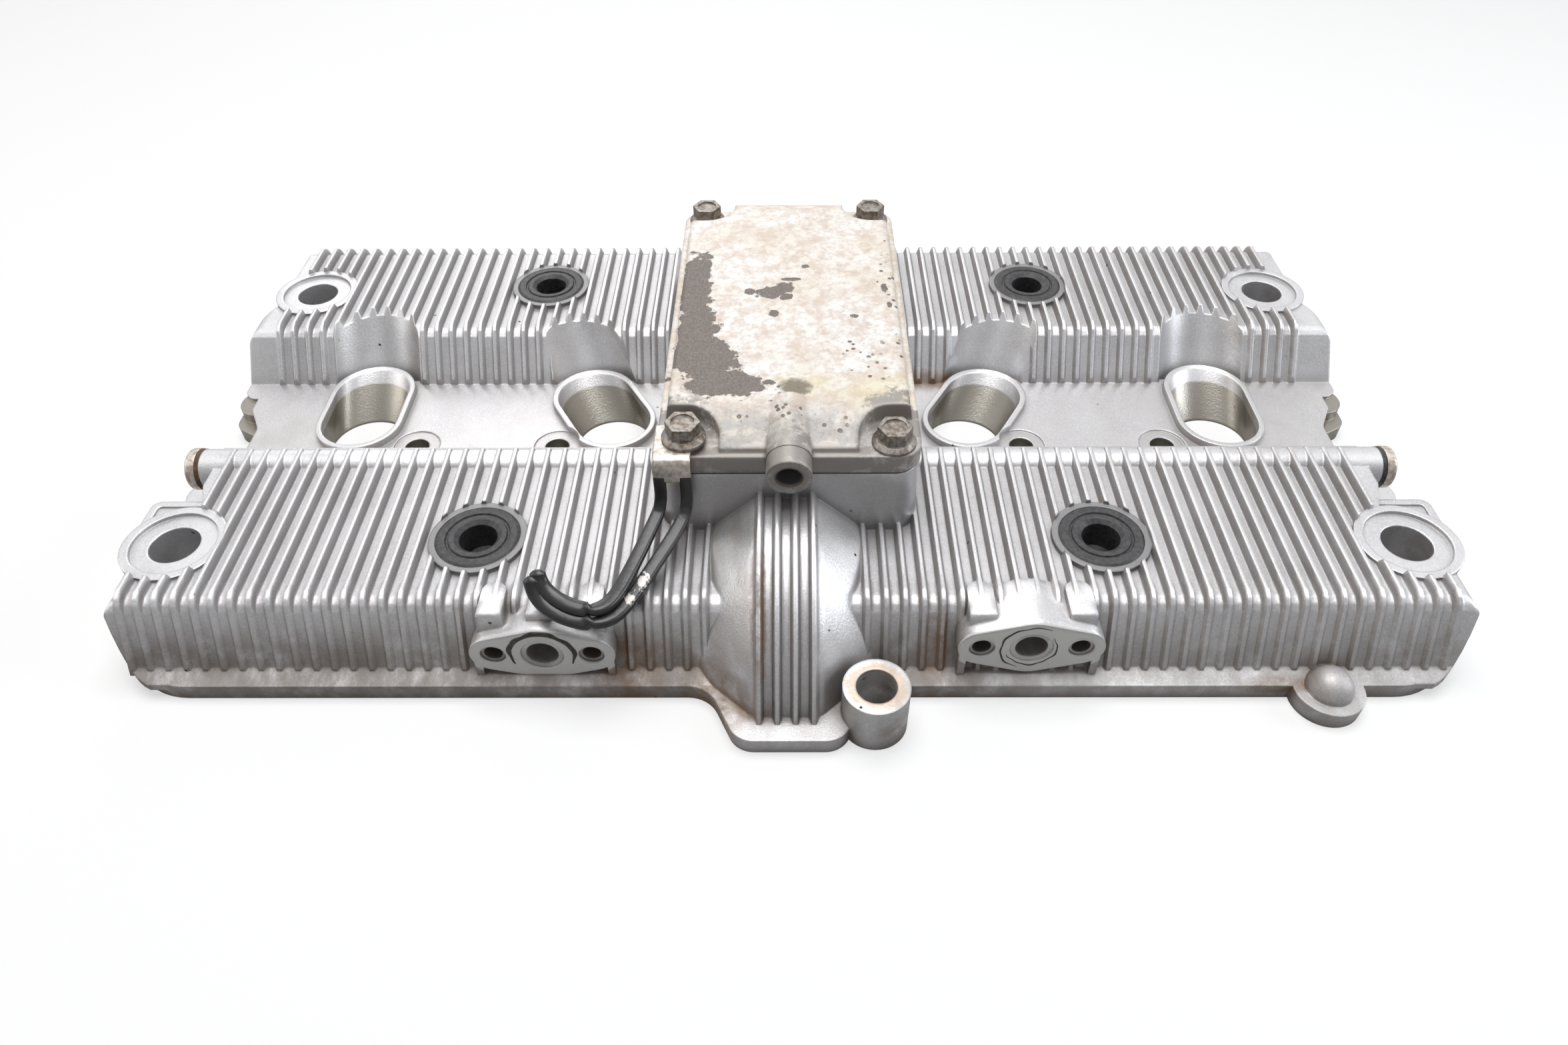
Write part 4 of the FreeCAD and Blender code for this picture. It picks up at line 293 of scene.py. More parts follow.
def build_blot():
    """Smooth step of the distance from the centre in radii, moved by (torn - 0.5) times twice the reach."""
    group, source, sink = new_group("blot", (
        ("Place", "Vector", None), ("Centre", "Vector", (0, 0, 0)), ("Radii", "Vector", (1, 1, 1)),
        ("Edge", "Float", 0.3), ("Torn", "Float", 0.5), ("Reach", "Float", 0.0)), "Mask")
    away = vector_step(group, "SUBTRACT", source.outputs["Place"], source.outputs["Centre"])
    share = vector_step(group, "DIVIDE", away.outputs[0], source.outputs["Radii"])
    length = group.nodes.new("ShaderNodeVectorMath")
    length.operation = "LENGTH"
    group.links.new(share.outputs[0], length.inputs[0])
    torn = step(group, "MULTIPLY", step(group, "SUBTRACT", source.outputs["Torn"], 0.5),
                step(group, "MULTIPLY", source.outputs["Reach"], 2.0))
    distance = step(group, "ADD", length.outputs["Value"], torn)
    ramp = group.nodes.new("ShaderNodeMapRange")
    ramp.interpolation_type = "SMOOTHSTEP"
    group.links.new(distance, ramp.inputs["Value"])
    group.links.new(step(group, "SUBTRACT", 1.0, source.outputs["Edge"]), ramp.inputs["From Min"])
    group.links.new(step(group, "ADD", 1.0, source.outputs["Edge"]), ramp.inputs["From Max"])
    ramp.inputs["To Min"].default_value = 1.0
    ramp.inputs["To Max"].default_value = 0.0
    group.links.new(ramp.outputs[0], sink.inputs[0])
    return group


def build_flecks():
    """1 within a radius, in millimetres, of points scattered at a spacing, with a torn edge."""
    group, source, sink = new_group("flecks", (
        ("Place", "Vector", None), ("Spacing", "Float", 5.0), ("Radius", "Float", 0.5),
        ("Torn", "Float", 0.5)), "Mask")
    cells = group.nodes.new("ShaderNodeTexVoronoi")
    group.links.new(source.outputs["Place"], cells.inputs["Vector"])
    group.links.new(step(group, "DIVIDE", 1.0, source.outputs["Spacing"]), cells.inputs["Scale"])
    reach = step(group, "MULTIPLY", cells.outputs["Distance"], source.outputs["Spacing"])
    torn = step(group, "MULTIPLY_ADD", source.outputs["Torn"], 1.6, 0.2)
    share = step(group, "DIVIDE", step(group, "MULTIPLY", reach, torn), source.outputs["Radius"])
    ramp = group.nodes.new("ShaderNodeMapRange")
    ramp.interpolation_type = "SMOOTHSTEP"
    group.links.new(share, ramp.inputs["Value"])
    ramp.inputs["From Min"].default_value = 0.8
    ramp.inputs["From Max"].default_value = 1.2
    ramp.inputs["To Min"].default_value = 1.0
    ramp.inputs["To Max"].default_value = 0.0
    group.links.new(ramp.outputs[0], sink.inputs[0])
    return group


EFFECTS = {"mottle": build_mottle(), "blot": build_blot(), "flecks": build_flecks()}
print("shared effects:", ", ".join(EFFECTS))

# %% [markdown]
# ## A short way to write a finish
#
# A material is a graph, and a long graph is hard to read as code. This helper holds
# one material and gives each kind of node a short call that returns its socket, so a
# finish reads like a recipe. Places are in millimetres, because that is how the
# stains were measured.

# %% The finish helper
SHADE_SAMPLES = 6
GROOVE_SKY = (0.30, 0.88)


class Finish:
    """One material, the place on the cover in millimetres, and short calls for its nodes."""

    def __init__(self, name):
        self.material = bpy.data.materials.new(name)
        self.material.use_nodes = True
        self.tree = self.material.node_tree
        self.tree.nodes.clear()
        self.surface = self.tree.nodes.new("ShaderNodeBsdfPrincipled")
        output = self.tree.nodes.new("ShaderNodeOutputMaterial")
        self.tree.links.new(self.surface.outputs[0], output.inputs["Surface"])
        coordinates = self.tree.nodes.new("ShaderNodeTexCoord")
        scale = self.tree.nodes.new("ShaderNodeVectorMath")
        scale.operation = "SCALE"
        scale.inputs["Scale"].default_value = 1.0 / MM
        self.tree.links.new(coordinates.outputs["Object"], scale.inputs[0])
        self.place = scale.outputs[0]
        split = self.tree.nodes.new("ShaderNodeSeparateXYZ")
        self.tree.links.new(self.place, split.inputs[0])
        self.x, self.y, self.z = split.outputs

    def put(self, socket, value):
        """Link a socket, or set it to a number, a vector or a colour."""
        if isinstance(value, bpy.types.NodeSocket):
            self.tree.links.new(value, socket)
        elif hasattr(value, "__len__"):
            missing = len(socket.default_value) - len(value)
            socket.default_value = tuple(value) + (1.0,) * missing
        else:
            socket.default_value = value

    def effect(self, name, **values):
        """One of the shared effects at this place."""
        node = self.tree.nodes.new("ShaderNodeGroup")
        node.node_tree = EFFECTS[name]
        self.put(node.inputs["Place"], self.place)
        for title, value in values.items():
            self.put(node.inputs[title], value)
        return node.outputs[0]

    def mottle(self, size, detail=4.0, roughness=0.6, stretch=(1, 1, 1)):
        """Noise with features of a size."""
        return self.effect("mottle", Size=size, Detail=detail, Roughness=roughness,
                           Stretch=stretch)

    def blot(self, centre, radii, edge=0.3, torn=0.5, reach=0.0):
        """Mask around a place."""
        return self.effect("blot", Centre=centre, Radii=radii, Edge=edge, Torn=torn, Reach=reach)

    def math(self, kind, first, second=0.0):
        """One arithmetic step."""
        node = self.tree.nodes.new("ShaderNodeMath")
        node.operation = kind
        self.put(node.inputs[0], first)
        self.put(node.inputs[1], second)
        return node.outputs[0]

    def times(self, *values):
        """Product of all values."""
        total = values[0]
        for value in values[1:]:
            total = self.math("MULTIPLY", total, value)
        return total

    def either(self, *masks):
        """Largest of all masks."""
        total = masks[0]
        for mask in masks[1:]:
            total = self.math("MAXIMUM", total, mask)
        return total

    def ramp(self, value, low, high, start=0.0, end=1.0):
        """Smooth step from start to end while the value goes from low to high."""
        node = self.tree.nodes.new("ShaderNodeMapRange")
        node.interpolation_type = "SMOOTHSTEP"
        for index, number in enumerate((value, low, high, start, end)):
            self.put(node.inputs[index], number)
        return node.outputs[0]

    def colour(self, share, first, second):
        """First colour where the share is 0 and second where it is 1."""
        node = self.tree.nodes.new("ShaderNodeMix")
        node.data_type = "RGBA"
        self.put(node.inputs[0], share)
        self.put(node.inputs[6], first)
        self.put(node.inputs[7], second)
        return node.outputs[2]

    def number(self, share, first, second):
        """First number where the share is 0 and second where it is 1."""
        node = self.tree.nodes.new("ShaderNodeMix")
        self.put(node.inputs[0], share)
        self.put(node.inputs[2], first)
        self.put(node.inputs[3], second)
        return node.outputs[0]

    def shelter(self, distance):
        """1 deep in a groove and 0 in the open: smooth step down of the share of sky seen."""
        node = self.tree.nodes.new("ShaderNodeAmbientOcclusion")
        node.samples = SHADE_SAMPLES
        node.inputs["Distance"].default_value = distance * MM
        return self.ramp(node.outputs["AO"], *GROOVE_SKY, 1.0, 0.0)

    def facing(self):
        """X, Y and Z parts of the surface direction."""
        node = self.tree.nodes.new("ShaderNodeNewGeometry")
        split = self.tree.nodes.new("ShaderNodeSeparateXYZ")
        self.tree.links.new(node.outputs["Normal"], split.inputs[0])
        return split.outputs

    def finish(self, colour, roughness, metallic, height=None, depth=0.1, soft=0.0, coat=0.0):
        """Feed the surface; height is bumped by depth and edges are softened by shading."""
        self.put(self.surface.inputs["Base Color"], colour)
        self.put(self.surface.inputs["Roughness"], roughness)
        self.put(self.surface.inputs["Metallic"], metallic)
        self.put(self.surface.inputs["Coat Weight"], coat)
        normal = None
        if soft:
            bevel = self.tree.nodes.new("ShaderNodeBevel")
            bevel.samples = SHADE_SAMPLES
            self.put(bevel.inputs["Radius"], self.times(soft, MM))
            normal = bevel.outputs[0]
        if height is not None:
            bump = self.tree.nodes.new("ShaderNodeBump")
            bump.inputs["Distance"].default_value = depth * MM
            self.put(bump.inputs["Height"], height)
            if normal is not None:
                self.put(bump.inputs["Normal"], normal)
            normal = bump.outputs[0]
        if normal is not None:
            self.put(self.surface.inputs["Normal"], normal)
        return self.material


def dress(piece, material):
    """Give a piece one material."""
    piece.data.materials.clear()
    piece.data.materials.append(material)


print("finish helper ready")

# %% [markdown]
# ## Colours of the casting
#
# The casting is satin silver with a fine blasted grain. It could be one flat silver,
# but what the eye reads as a fin is mostly the dark beside it, so the finish is laid in
# layers: painted shade in the grooves, brown dirt with painted shade on the front wall,
# painted shade on the chamber's front, rust, machined faces and oily wells. Here are their
# colours and the places of the stains, in millimetres as read off the picture.

# %% Colours and places on the casting
STAINS = (
    ((-40.5, -95.0, 12.0), (5.5, 6.0, 15.0)),
    ((-42.0, -99.0, 5.0), (9.0, 6.0, 5.0)),
    ((-19.0, -103.0, 6.0), (12.0, 12.0, 8.0)),
    ((-8.3, -92.0, 26.0), (2.2, 24.0, 15.0)),
    ((45.0, 29.0, 9.5), (13.0, 4.5, 4.0)),
    ((38.5, -92.0, 12.0), (4.0, 8.0, 14.0)),
    ((130.0, -99.0, 5.0), (9.0, 3.0, 3.0)),
    ((171.0, -48.0, 20.0), (7.0, 3.0, 4.0)),
    ((-171.0, -48.0, 20.0), (7.0, 3.0, 4.0)),
)
SILVER_DARK = (0.56, 0.55, 0.56)
SILVER_LIGHT = (0.69, 0.685, 0.70)
SILVER_CREST = (0.80, 0.80, 0.81)
# Grey painted into the grooves as shade.
GROOVE_SHADE = (0.15, 0.14, 0.135)
FLANK_WARM = (0.33, 0.29, 0.25)
# Front wall: brown dirt together with painted shade, in its grooves and low down.
FLANK_DIRT_AND_SHADE = (0.16, 0.13, 0.105)
LOW_DIRT_AND_SHADE = (0.15, 0.115, 0.085)
RUST_BROWN = (0.20, 0.115, 0.06)
SEAT_GREY = (0.16, 0.155, 0.155)
VALLEY_GREY = (0.36, 0.34, 0.34)
# Painted shade on the chamber's front.
CHAMBER_SHADE = (0.22, 0.215, 0.21)
MILLED_PALE = (0.86, 0.85, 0.82)
BOSS_TAN = (0.50, 0.36, 0.24)
TAR_BLACK = (0.018, 0.016, 0.015)
OIL_OLIVE = (0.26, 0.235, 0.18)
FACE_Y = -96.0
LEFT_PIPE = (-65.1, 14.7)
RIGHT_PIPE = (63.3, 17.2)
GROMMET_X = 86.5
GROMMET_Y = (-63.3, 65.5)
BOSS_TOP = (22.3, -106.8, 15.5)
BOSS_RIM = 7.4
print("stains:", len(STAINS))

# %% [markdown]
# ## Where the layers lie
#
# A zone could be painted by hand or found by the form. Here it is a smooth step in X,
# Y or Z, or an ellipsoid around a place, multiplied together: the front wall, the
# valley between the banks, the chamber's front, the faces of the two pipe flanges, the
# seats of the rubber grommets and the inside of the plug wells. Each is one number
# from 0 to 1 that any layer can use.

# %% Zones of the casting


def front_wall(f):
    """Step in Y, weaker on the middle hump and to the right."""
    return f.times(f.ramp(f.y, -82.0, -88.0), f.ramp(f.math("ABSOLUTE", f.x), 20.0, 27.0, 0.35, 1.0),
                   f.ramp(f.x, 40.0, 70.0, 1.0, 0.65))


def valley_floor(f):
    """Low between the two banks: steps in Y from both sides, and a step down in Z."""
    return f.times(f.ramp(f.y, -25.0, -22.0), f.ramp(f.y, 33.0, 27.0), f.ramp(f.z, 14.0, 10.5))


def chamber_front(f, side_y):
    """Ellipsoid around the chamber's front, only where the surface faces forwards; painted shade goes here.
    """
    return f.times(f.blot((0.0, -62.0, 35.0), (42.0, 9.0, 13.0), 0.12), f.ramp(side_y, -0.5, -0.9))


def pipe_blots(f, y, heights, radii, edge):
    """One ellipsoid at each pipe flange."""
    return f.either(*[f.blot((x, y, z), radii, edge) for x, z in zip((LEFT_PIPE[0], RIGHT_PIPE[0]), heights)])


def milled_faces(f):
    """The faces of the pipe flanges: ellipsoids cut by steps in Y and Z."""
    heights = (LEFT_PIPE[1], RIGHT_PIPE[1])
    return f.times(f.ramp(f.y, -95.3, -95.9), f.ramp(f.z, 6.4, 6.8),
                   pipe_blots(f, FACE_Y, heights, (21.0, 3.0, 10.5), 0.03))


def grommet_seats(f):
    """A disc around each rubber grommet."""
    return f.either(*[f.blot((side * GROMMET_X, y, 26.0), (13.9, 13.9, 5.0), 0.03)
                      for side in (-1.0, 1.0) for y in GROMMET_Y])


def well_insides(f):
    """Everything below the valley's top between the banks, down to the sealing face."""
    return f.times(f.ramp(f.z, 9.3, 8.7), f.ramp(f.y, -24.0, -23.0), f.ramp(f.y, 30.0, 29.0),
                   f.ramp(f.z, -0.6, 0.2))


def edge_softness(f):
    """Radius in millimetres: 0.8, more on the front bend, most on the pipe flanges' lobes."""
    lobes = f.times(f.ramp(f.y, -79.0, -81.0), f.ramp(f.z, 19.0, 22.0),
                    pipe_blots(f, -88.0, (24.0, 24.0), (20.0, 12.0, 12.0), 0.05))
    bend = f.times(f.ramp(f.z, 19.0, 21.0), f.ramp(f.y, -78.0, -80.0))
    return f.number(lobes, f.number(bend, 0.8, 1.7), 3.2)


print("zones of the casting ready")

# %% [markdown]
# ## Cast metal
#
# The layers lie one over the other: dirt and rust as on the real casting, and painted
# shade among them. Clean silver has paler crests on its grain. Flanks that face left are
# warmer, because the picture is lit more from the right. Grooves are painted grey as
# shade by how little sky they see, so that one rule serves every fin. The front wall
# gets painted shade with its dirt, and the chamber's front gets painted shade. Dirt and
# rust are duller than metal and oil is smoother, so these layers change the shine too.

# %% Cast metal


def silver(f, fine, cloud):
    """Two silvers mixed in clouds, with a paler one on the crests of the grain."""
    tint = f.colour(f.ramp(cloud, 0.3, 0.7), SILVER_DARK, SILVER_LIGHT)
    return f.colour(f.ramp(fine, 0.35, 0.75, 0.0, 0.6), tint, SILVER_CREST)


def shade_grooves(f, tint, groove, streak, side_x):
    """Streaky warm painted shade on flanks that face left, then grey painted shade by the groove mask."""
    warm = f.times(f.ramp(side_x, -0.25, -0.8), f.ramp(streak, 0.25, 0.65))
    tint = f.colour(f.times(warm, 0.55), tint, FLANK_WARM)
    # Painted shade: the grooves go grey by how little sky they see.
    return f.colour(f.times(groove, 0.72), tint, GROOVE_SHADE)


def walls_dirt_and_shade(f, tint, groove, low_front_dirt_and_shade):
    """Brown in the front wall's grooves, and browner low down: dirt together with painted shade on the wall
    that faces away from the light.
    """
    # Dirt and painted shade in the front wall's grooves, then lower down.
    tint = f.colour(f.times(front_wall(f), f.ramp(groove, 0.15, 0.8), 0.6), tint, FLANK_DIRT_AND_SHADE)
    return f.colour(f.times(low_front_dirt_and_shade, 0.70), tint, LOW_DIRT_AND_SHADE)


def valley_tone_and_chamber_shade(f, tint, streak, cloud, side_y):
    """Warm clouds and grey streaks on the valley's floor, and painted shade on the chamber's front, which
    faces away from the light.
    """
    valley = valley_floor(f)
    tint = f.colour(f.times(valley, f.ramp(cloud, 0.40, 0.70), 0.35), tint, FLANK_WARM)
    tint = f.colour(f.times(valley, f.ramp(streak, 0.2, 0.7, 0.12, 0.30)), tint, VALLEY_GREY)
    # Painted shade on the chamber's front, where it faces forwards.
    return f.colour(f.times(chamber_front(f, side_y), 0.45), tint, CHAMBER_SHADE)


def cast_metal():
    """All layers in turn; rust, seats, milled faces, the low front wall and grooves lose metal and shine."""
    f = Finish("cast_metal")
    fine = f.mottle(0.55, 2.0)
    grain = f.mottle(2.0, 5.0)
    cloud = f.mottle(18.0)
    streak = f.mottle(8.0, 5.0, 0.65, (1.0, 0.4, 1.0))
    torn = f.mottle(4.5, 6.0, 0.7)
    groove = f.shelter(6.5)
    side_x, side_y = f.facing()[:2]
    # Low on the front wall: dirt and painted shade.
    low_front_dirt_and_shade = f.times(front_wall(f), f.ramp(f.z, 24.0, 9.0), f.ramp(streak, 0.10, 0.62))
    tint = shade_grooves(f, silver(f, fine, cloud), groove, streak, side_x)
    tint = walls_dirt_and_shade(f, tint, groove, low_front_dirt_and_shade)
    tint = valley_tone_and_chamber_shade(f, tint, streak, cloud, side_y)
    rust = f.either(*[f.blot(centre, radii, 0.35, torn, 0.9) for centre, radii in STAINS])
    rust = f.times(rust, f.ramp(f.math("ADD", groove, torn), 0.30, 0.80))
    tint = f.colour(f.times(rust, 0.9), tint, RUST_BROWN)
    seats = grommet_seats(f)
    tint = f.colour(f.times(seats, 0.75), tint, SEAT_GREY)
    milled = milled_faces(f)
    tint = f.colour(f.times(milled, 0.85), tint, MILLED_PALE)
    boss = f.blot(BOSS_TOP, (BOSS_RIM, BOSS_RIM, 1.2), 0.12, torn, 0.5)
    tint = f.colour(f.times(boss, 0.6), tint, BOSS_TAN)
    specks = f.times(f.effect("flecks", Spacing=9.0, Radius=0.45, Torn=grain),
                     f.ramp(f.mottle(30.0, 2.0), 0.50, 0.58))
    tint = f.colour(specks, tint, TAR_BLACK)
    inside = well_insides(f)
    tint = f.colour(f.times(inside, 0.75), tint, OIL_OLIVE)
    dull = f.either(rust, f.times(groove, 0.7), low_front_dirt_and_shade)
    roughness = f.number(inside, f.number(dull, 0.38, 0.72), 0.30)
    metallic = f.number(f.either(rust, seats, milled, f.times(low_front_dirt_and_shade, 0.6), f.times(groove, 0.4)),
                        0.78, 0.15)
    height = f.math("ADD", fine, f.times(grain, 0.6))
    return f.finish(tint, roughness, metallic, height, depth=0.06, soft=edge_softness(f))


dress(NODES["head_cover"], cast_metal())
print("casting dressed, triangles:", len(NODES["head_cover"].data.polygons))

# %% [markdown]
# ## Places on the breather cover
#
# The breather cover was painted off-white. A long patch on its left side and a blot
# near the middle have peeled to dark metal, chips are scattered over the right half,
# and the front corners are corroded. Noise alone would put such patches anywhere, so
# each large one has its own place and radii, and noise only tears its edge.

# %% Colours and places of the paint
BARE_PATCHES = (
    ((-29.0, 16.0, 56.0), (5.0, 17.0, 9.0)),
    ((-27.5, -7.0, 56.0), (6.0, 12.0, 9.0)),
    ((-24.0, -22.0, 56.0), (10.0, 11.0, 9.0)),
    ((-17.5, -33.5, 56.0), (11.0, 6.0, 9.0)),
)
BARE_DOTS = (
    ((-5.2, 12.0, 57.0), (4.2, 3.2, 9.0)),
    ((-1.6, 14.5, 57.0), (3.0, 2.8, 9.0)),
    ((-1.0, 9.6, 57.0), (1.8, 1.8, 9.0)),
    ((0.4, 19.5, 57.0), (3.4, 0.9, 9.0)),
    ((-12.2, 12.5, 57.0), (1.6, 1.5, 9.0)),
    ((-9.0, -36.0, 57.0), (3.0, 1.6, 9.0)),
    ((-5.6, -33.4, 57.0), (1.8, 1.2, 9.0)),
    ((-4.5, 0.5, 57.0), (1.7, 1.7, 9.0)),
    ((19.5, -1.0, 57.0), (1.2, 1.0, 9.0)),
    ((5.2, 27.0, 57.0), (1.1, 1.1, 9.0)),
    ((29.5, 14.0, 57.0), (1.0, 2.6, 9.0)),
    ((30.5, 5.0, 57.0), (0.8, 1.8, 9.0)),
)
CHIP_ZONES = (
    ((24.0, -21.0, 56.0), (12.0, 15.0, 12.0)),
    ((30.5, 12.0, 56.0), (4.0, 38.0, 12.0)),
    ((-8.0, -36.0, 56.0), (14.0, 8.0, 12.0)),
    ((2.0, -48.0, 53.0), (24.0, 7.0, 9.0)),
)
CORROSION = (
    ((-29.0, -46.0, 52.0), (9.0, 12.0, 7.0)),
    ((29.0, -45.0, 52.0), (9.0, 11.0, 7.0)),
    ((0.0, -57.5, 49.0), (36.0, 4.0, 5.0)),
    ((0.0, -60.0, 50.0), (8.0, 12.0, 8.0)),
)
YELLOW_STAINS = (
    ((26.0, -37.0, 55.0), (11.0, 7.0, 8.0)),
    ((4.0, -34.0, 56.0), (9.0, 5.0, 8.0)),
)
OLIVE_PLACE = (2.0, -35.5, 56.0)
OLIVE_RADII = (4.2, 3.6, 8.0)
MOUTH_PLACE = (0.0, -66.5, 49.9)
MOUTH_RADII = (3.9, 3.0, 3.9)
PAINT_WARM = (0.78, 0.72, 0.64)
PAINT_WHITE = (0.86, 0.845, 0.83)
PAINT_TAN = (0.58, 0.46, 0.37)
PAINT_YELLOW = (0.72, 0.63, 0.30)
STAIN_OLIVE = (0.17, 0.145, 0.095)
NOSE_GREY = (0.40, 0.39, 0.38)
SCUFF_GREY = (0.31, 0.285, 0.265)
BARE_DARK = (0.13, 0.11, 0.10)
BARE_LIGHT = (0.22, 0.19, 0.17)
# Painted shade in the nipple's mouth.
MOUTH_SHADE = (0.07, 0.045, 0.03)
print("bare patches:", len(BARE_PATCHES) + len(BARE_DOTS))

# %% [markdown]
# ## Peeling paint
#
# The paint is two off-whites with tan and yellow stains, greyed on the slope behind
# the nipple and rubbed dark at the corners. Where it has come off, bare metal lies
# lower than the paint, so the same mask feeds the colour, the shine and the height.

# %% Peeling paint


def bare_metal(f, torn, small):
    """Largest of the torn patches and dots, and of flecks where a zone times noise is high."""
    patches = [f.blot(centre, radii, 0.05, torn, 1.0) for centre, radii in BARE_PATCHES]
    dots = [f.blot(centre, radii, 0.08, small, 1.2) for centre, radii in BARE_DOTS]
    zone = f.either(*[f.blot(centre, radii, 0.5) for centre, radii in CHIP_ZONES])
    chips = f.times(f.effect("flecks", Spacing=2.9, Radius=0.62, Torn=small),
                    f.ramp(f.times(zone, f.mottle(7.0, 2.0)), 0.36, 0.50))
    return f.either(chips, *patches, *dots)


def scuffed(f, torn, small):
    """Smooth step of 0.55 times the worn places plus 0.75 times the fine noise."""
    worn = f.either(*[f.blot(centre, radii, 0.5, torn, 0.9) for centre, radii in CORROSION])
    worn = f.either(worn, f.times(f.ramp(f.z, 51.2, 50.2), 0.45))
    return f.ramp(f.math("ADD", f.times(worn, 0.55), f.times(small, 0.75)), 0.58, 0.80)


def stained_paint(f, torn, small):
    """Two off-whites in wide clouds, tan twice at two sizes, yellow, and one olive stain."""
    tint = f.colour(f.ramp(f.mottle(26.0, 3.0, 0.5), 0.35, 0.65), PAINT_WARM, PAINT_WHITE)
    tint = f.colour(f.ramp(small, 0.46, 0.66, 0.0, 0.65), tint, PAINT_TAN)
    tint = f.colour(f.ramp(f.mottle(5.5, 7.0, 0.72), 0.44, 0.62, 0.0, 0.65), tint, PAINT_TAN)
    yellow = f.either(*[f.blot(centre, radii, 0.7, torn, 0.8) for centre, radii in YELLOW_STAINS])
    tint = f.colour(f.times(yellow, 0.35), tint, PAINT_YELLOW)
    olive = f.blot(OLIVE_PLACE, OLIVE_RADII, 0.35, small, 0.8)
    return f.colour(f.times(olive, 0.95), tint, STAIN_OLIVE)


def grey_nose(f, tint, torn):
    """Grey over the front slope, torn wide, then speckled fine."""
    nose = f.ramp(f.y, -41.0, -50.0)
    tint = f.colour(f.times(nose, f.ramp(torn, 0.30, 0.60), 0.75), tint, NOSE_GREY)
    speckle = f.times(nose, f.ramp(f.mottle(1.6, 7.0, 0.75), 0.50, 0.62))
    return f.colour(f.times(speckle, 0.65), tint, SCUFF_GREY)


def peeling_paint():
    """Stained paint, then scuffs, then bare metal, which is one step lower and less shiny."""
    f = Finish("peeling_paint")
    torn = f.mottle(6.0, 7.0, 0.68)
    small = f.mottle(2.2, 6.0, 0.7)
    bare = bare_metal(f, torn, small)
    scuff = scuffed(f, torn, small)
    tint = grey_nose(f, stained_paint(f, torn, small), torn)
    tint = f.colour(scuff, tint, SCUFF_GREY)
    metal = f.colour(f.ramp(f.mottle(0.6, 4.0, 0.7), 0.35, 0.70), BARE_DARK, BARE_LIGHT)
    tint = f.colour(bare, tint, metal)
    # Painted shade: the nipple's mouth is painted near black.
    tint = f.colour(f.blot(MOUTH_PLACE, MOUTH_RADII, 0.1), tint, MOUTH_SHADE)
    roughness = f.number(bare, 0.45, 0.60)
    metallic = f.number(f.either(bare, scuff), 0.0, 0.45)
    height = f.math("SUBTRACT", f.math("ADD", f.times(torn, 0.3), f.times(small, 0.35)), bare)
    return f.finish(tint, roughness, metallic, height, depth=0.16, soft=2.0)


dress(NODES["breather_cover"], peeling_paint())
print("breather cover dressed, triangles:", len(NODES["breather_cover"].data.polygons))

# %% [markdown]
# ## Small parts
#
# The bolts are plated steel gone brown in patches. The rubber is nearly
# black with a weak, broad sheen. The gallery plugs are turned light metal with a brown
# tarnish, and the baffle plate inside the chamber is clean sheet steel.

# %% Small finishes


def mottled(name, size, first, second, roughness, metallic, depth, soft):
    """Two colours mixed by noise of a size, with the same noise as height."""
    f = Finish(name)
    noise = f.mottle(size, 5.0)
    tint = f.colour(f.ramp(noise, 0.35, 0.68), first, second)
    return f.finish(tint, roughness, metallic, noise, depth, soft)


worn_bolt = mottled("worn_bolt", 1.5, (0.33, 0.31, 0.285), (0.15, 0.115, 0.085),
                    roughness=0.42, metallic=0.8, depth=0.08, soft=0.3)
black_rubber = mottled("black_rubber", 1.3, (0.02, 0.02, 0.023), (0.06, 0.057, 0.058),
                       roughness=0.50, metallic=0.0, depth=0.06, soft=0.25)
plug_metal = mottled("turned_plug", 1.4, (0.72, 0.67, 0.61), (0.42, 0.32, 0.25),
                     roughness=0.36, metallic=0.6, depth=0.05, soft=0.3)
rusty_washer = mottled("rusty_washer", 1.0, (0.17, 0.09, 0.045), (0.06, 0.04, 0.03),
                       roughness=0.8, metallic=0.0, depth=0.08, soft=0.1)
plain_sheet = mottled("plain_sheet", 2.0, (0.40, 0.39, 0.38), (0.52, 0.51, 0.50),
                      roughness=0.40, metallic=0.85, depth=0.03, soft=0.2)

FINISH_OF = (
    ("breather_bolt", worn_bolt),
    ("grommet", black_rubber),
    ("breather_gasket", black_rubber),
    ("gallery_plug_washer_left", rusty_washer),
    ("gallery_plug_washer_right", black_rubber),
    ("gallery_plug_left", plug_metal),
    ("gallery_plug_right", plug_metal),
    ("baffle_screw", plain_sheet),
    ("breather_baffle", plain_sheet),
)
for start, material in FINISH_OF:
    for name in NODES:
        if name.startswith(start):
            dress(NODES[name], material)
print("materials:", len(bpy.data.materials))

# %% [markdown]
# ## Surfaces from numbers
#
# A strap or a bead is a section carried along a path. The path's points are joined by
# one smooth curve, a frame travels along it without twisting, and the section's points
# are placed in that frame as whole arrays. Blender's own curve objects can do this for
# a constant section; here the section changes from a flat strap to a round leg.

# %% Carry a section along a path


def smooth_path(points, count):
    """Points of a uniform cubic B-spline through the control points, clamped at both ends."""
    control = np.array(points, float)
    control = np.vstack([2.0 * control[0] - control[1], control, 2.0 * control[-1] - control[-2]])
    spans = len(control) - 3
    where = np.linspace(0.0, spans - 1e-9, count)
    base = where.astype(int)
    t = (where - base)[:, None]
    a, b, c, d = (control[base + k] for k in range(4))
    return ((1 - t) ** 3 * a + (3 * t ** 3 - 6 * t ** 2 + 4) * b
            + (-3 * t ** 3 + 3 * t ** 2 + 3 * t + 1) * c + t ** 3 * d) / 6.0


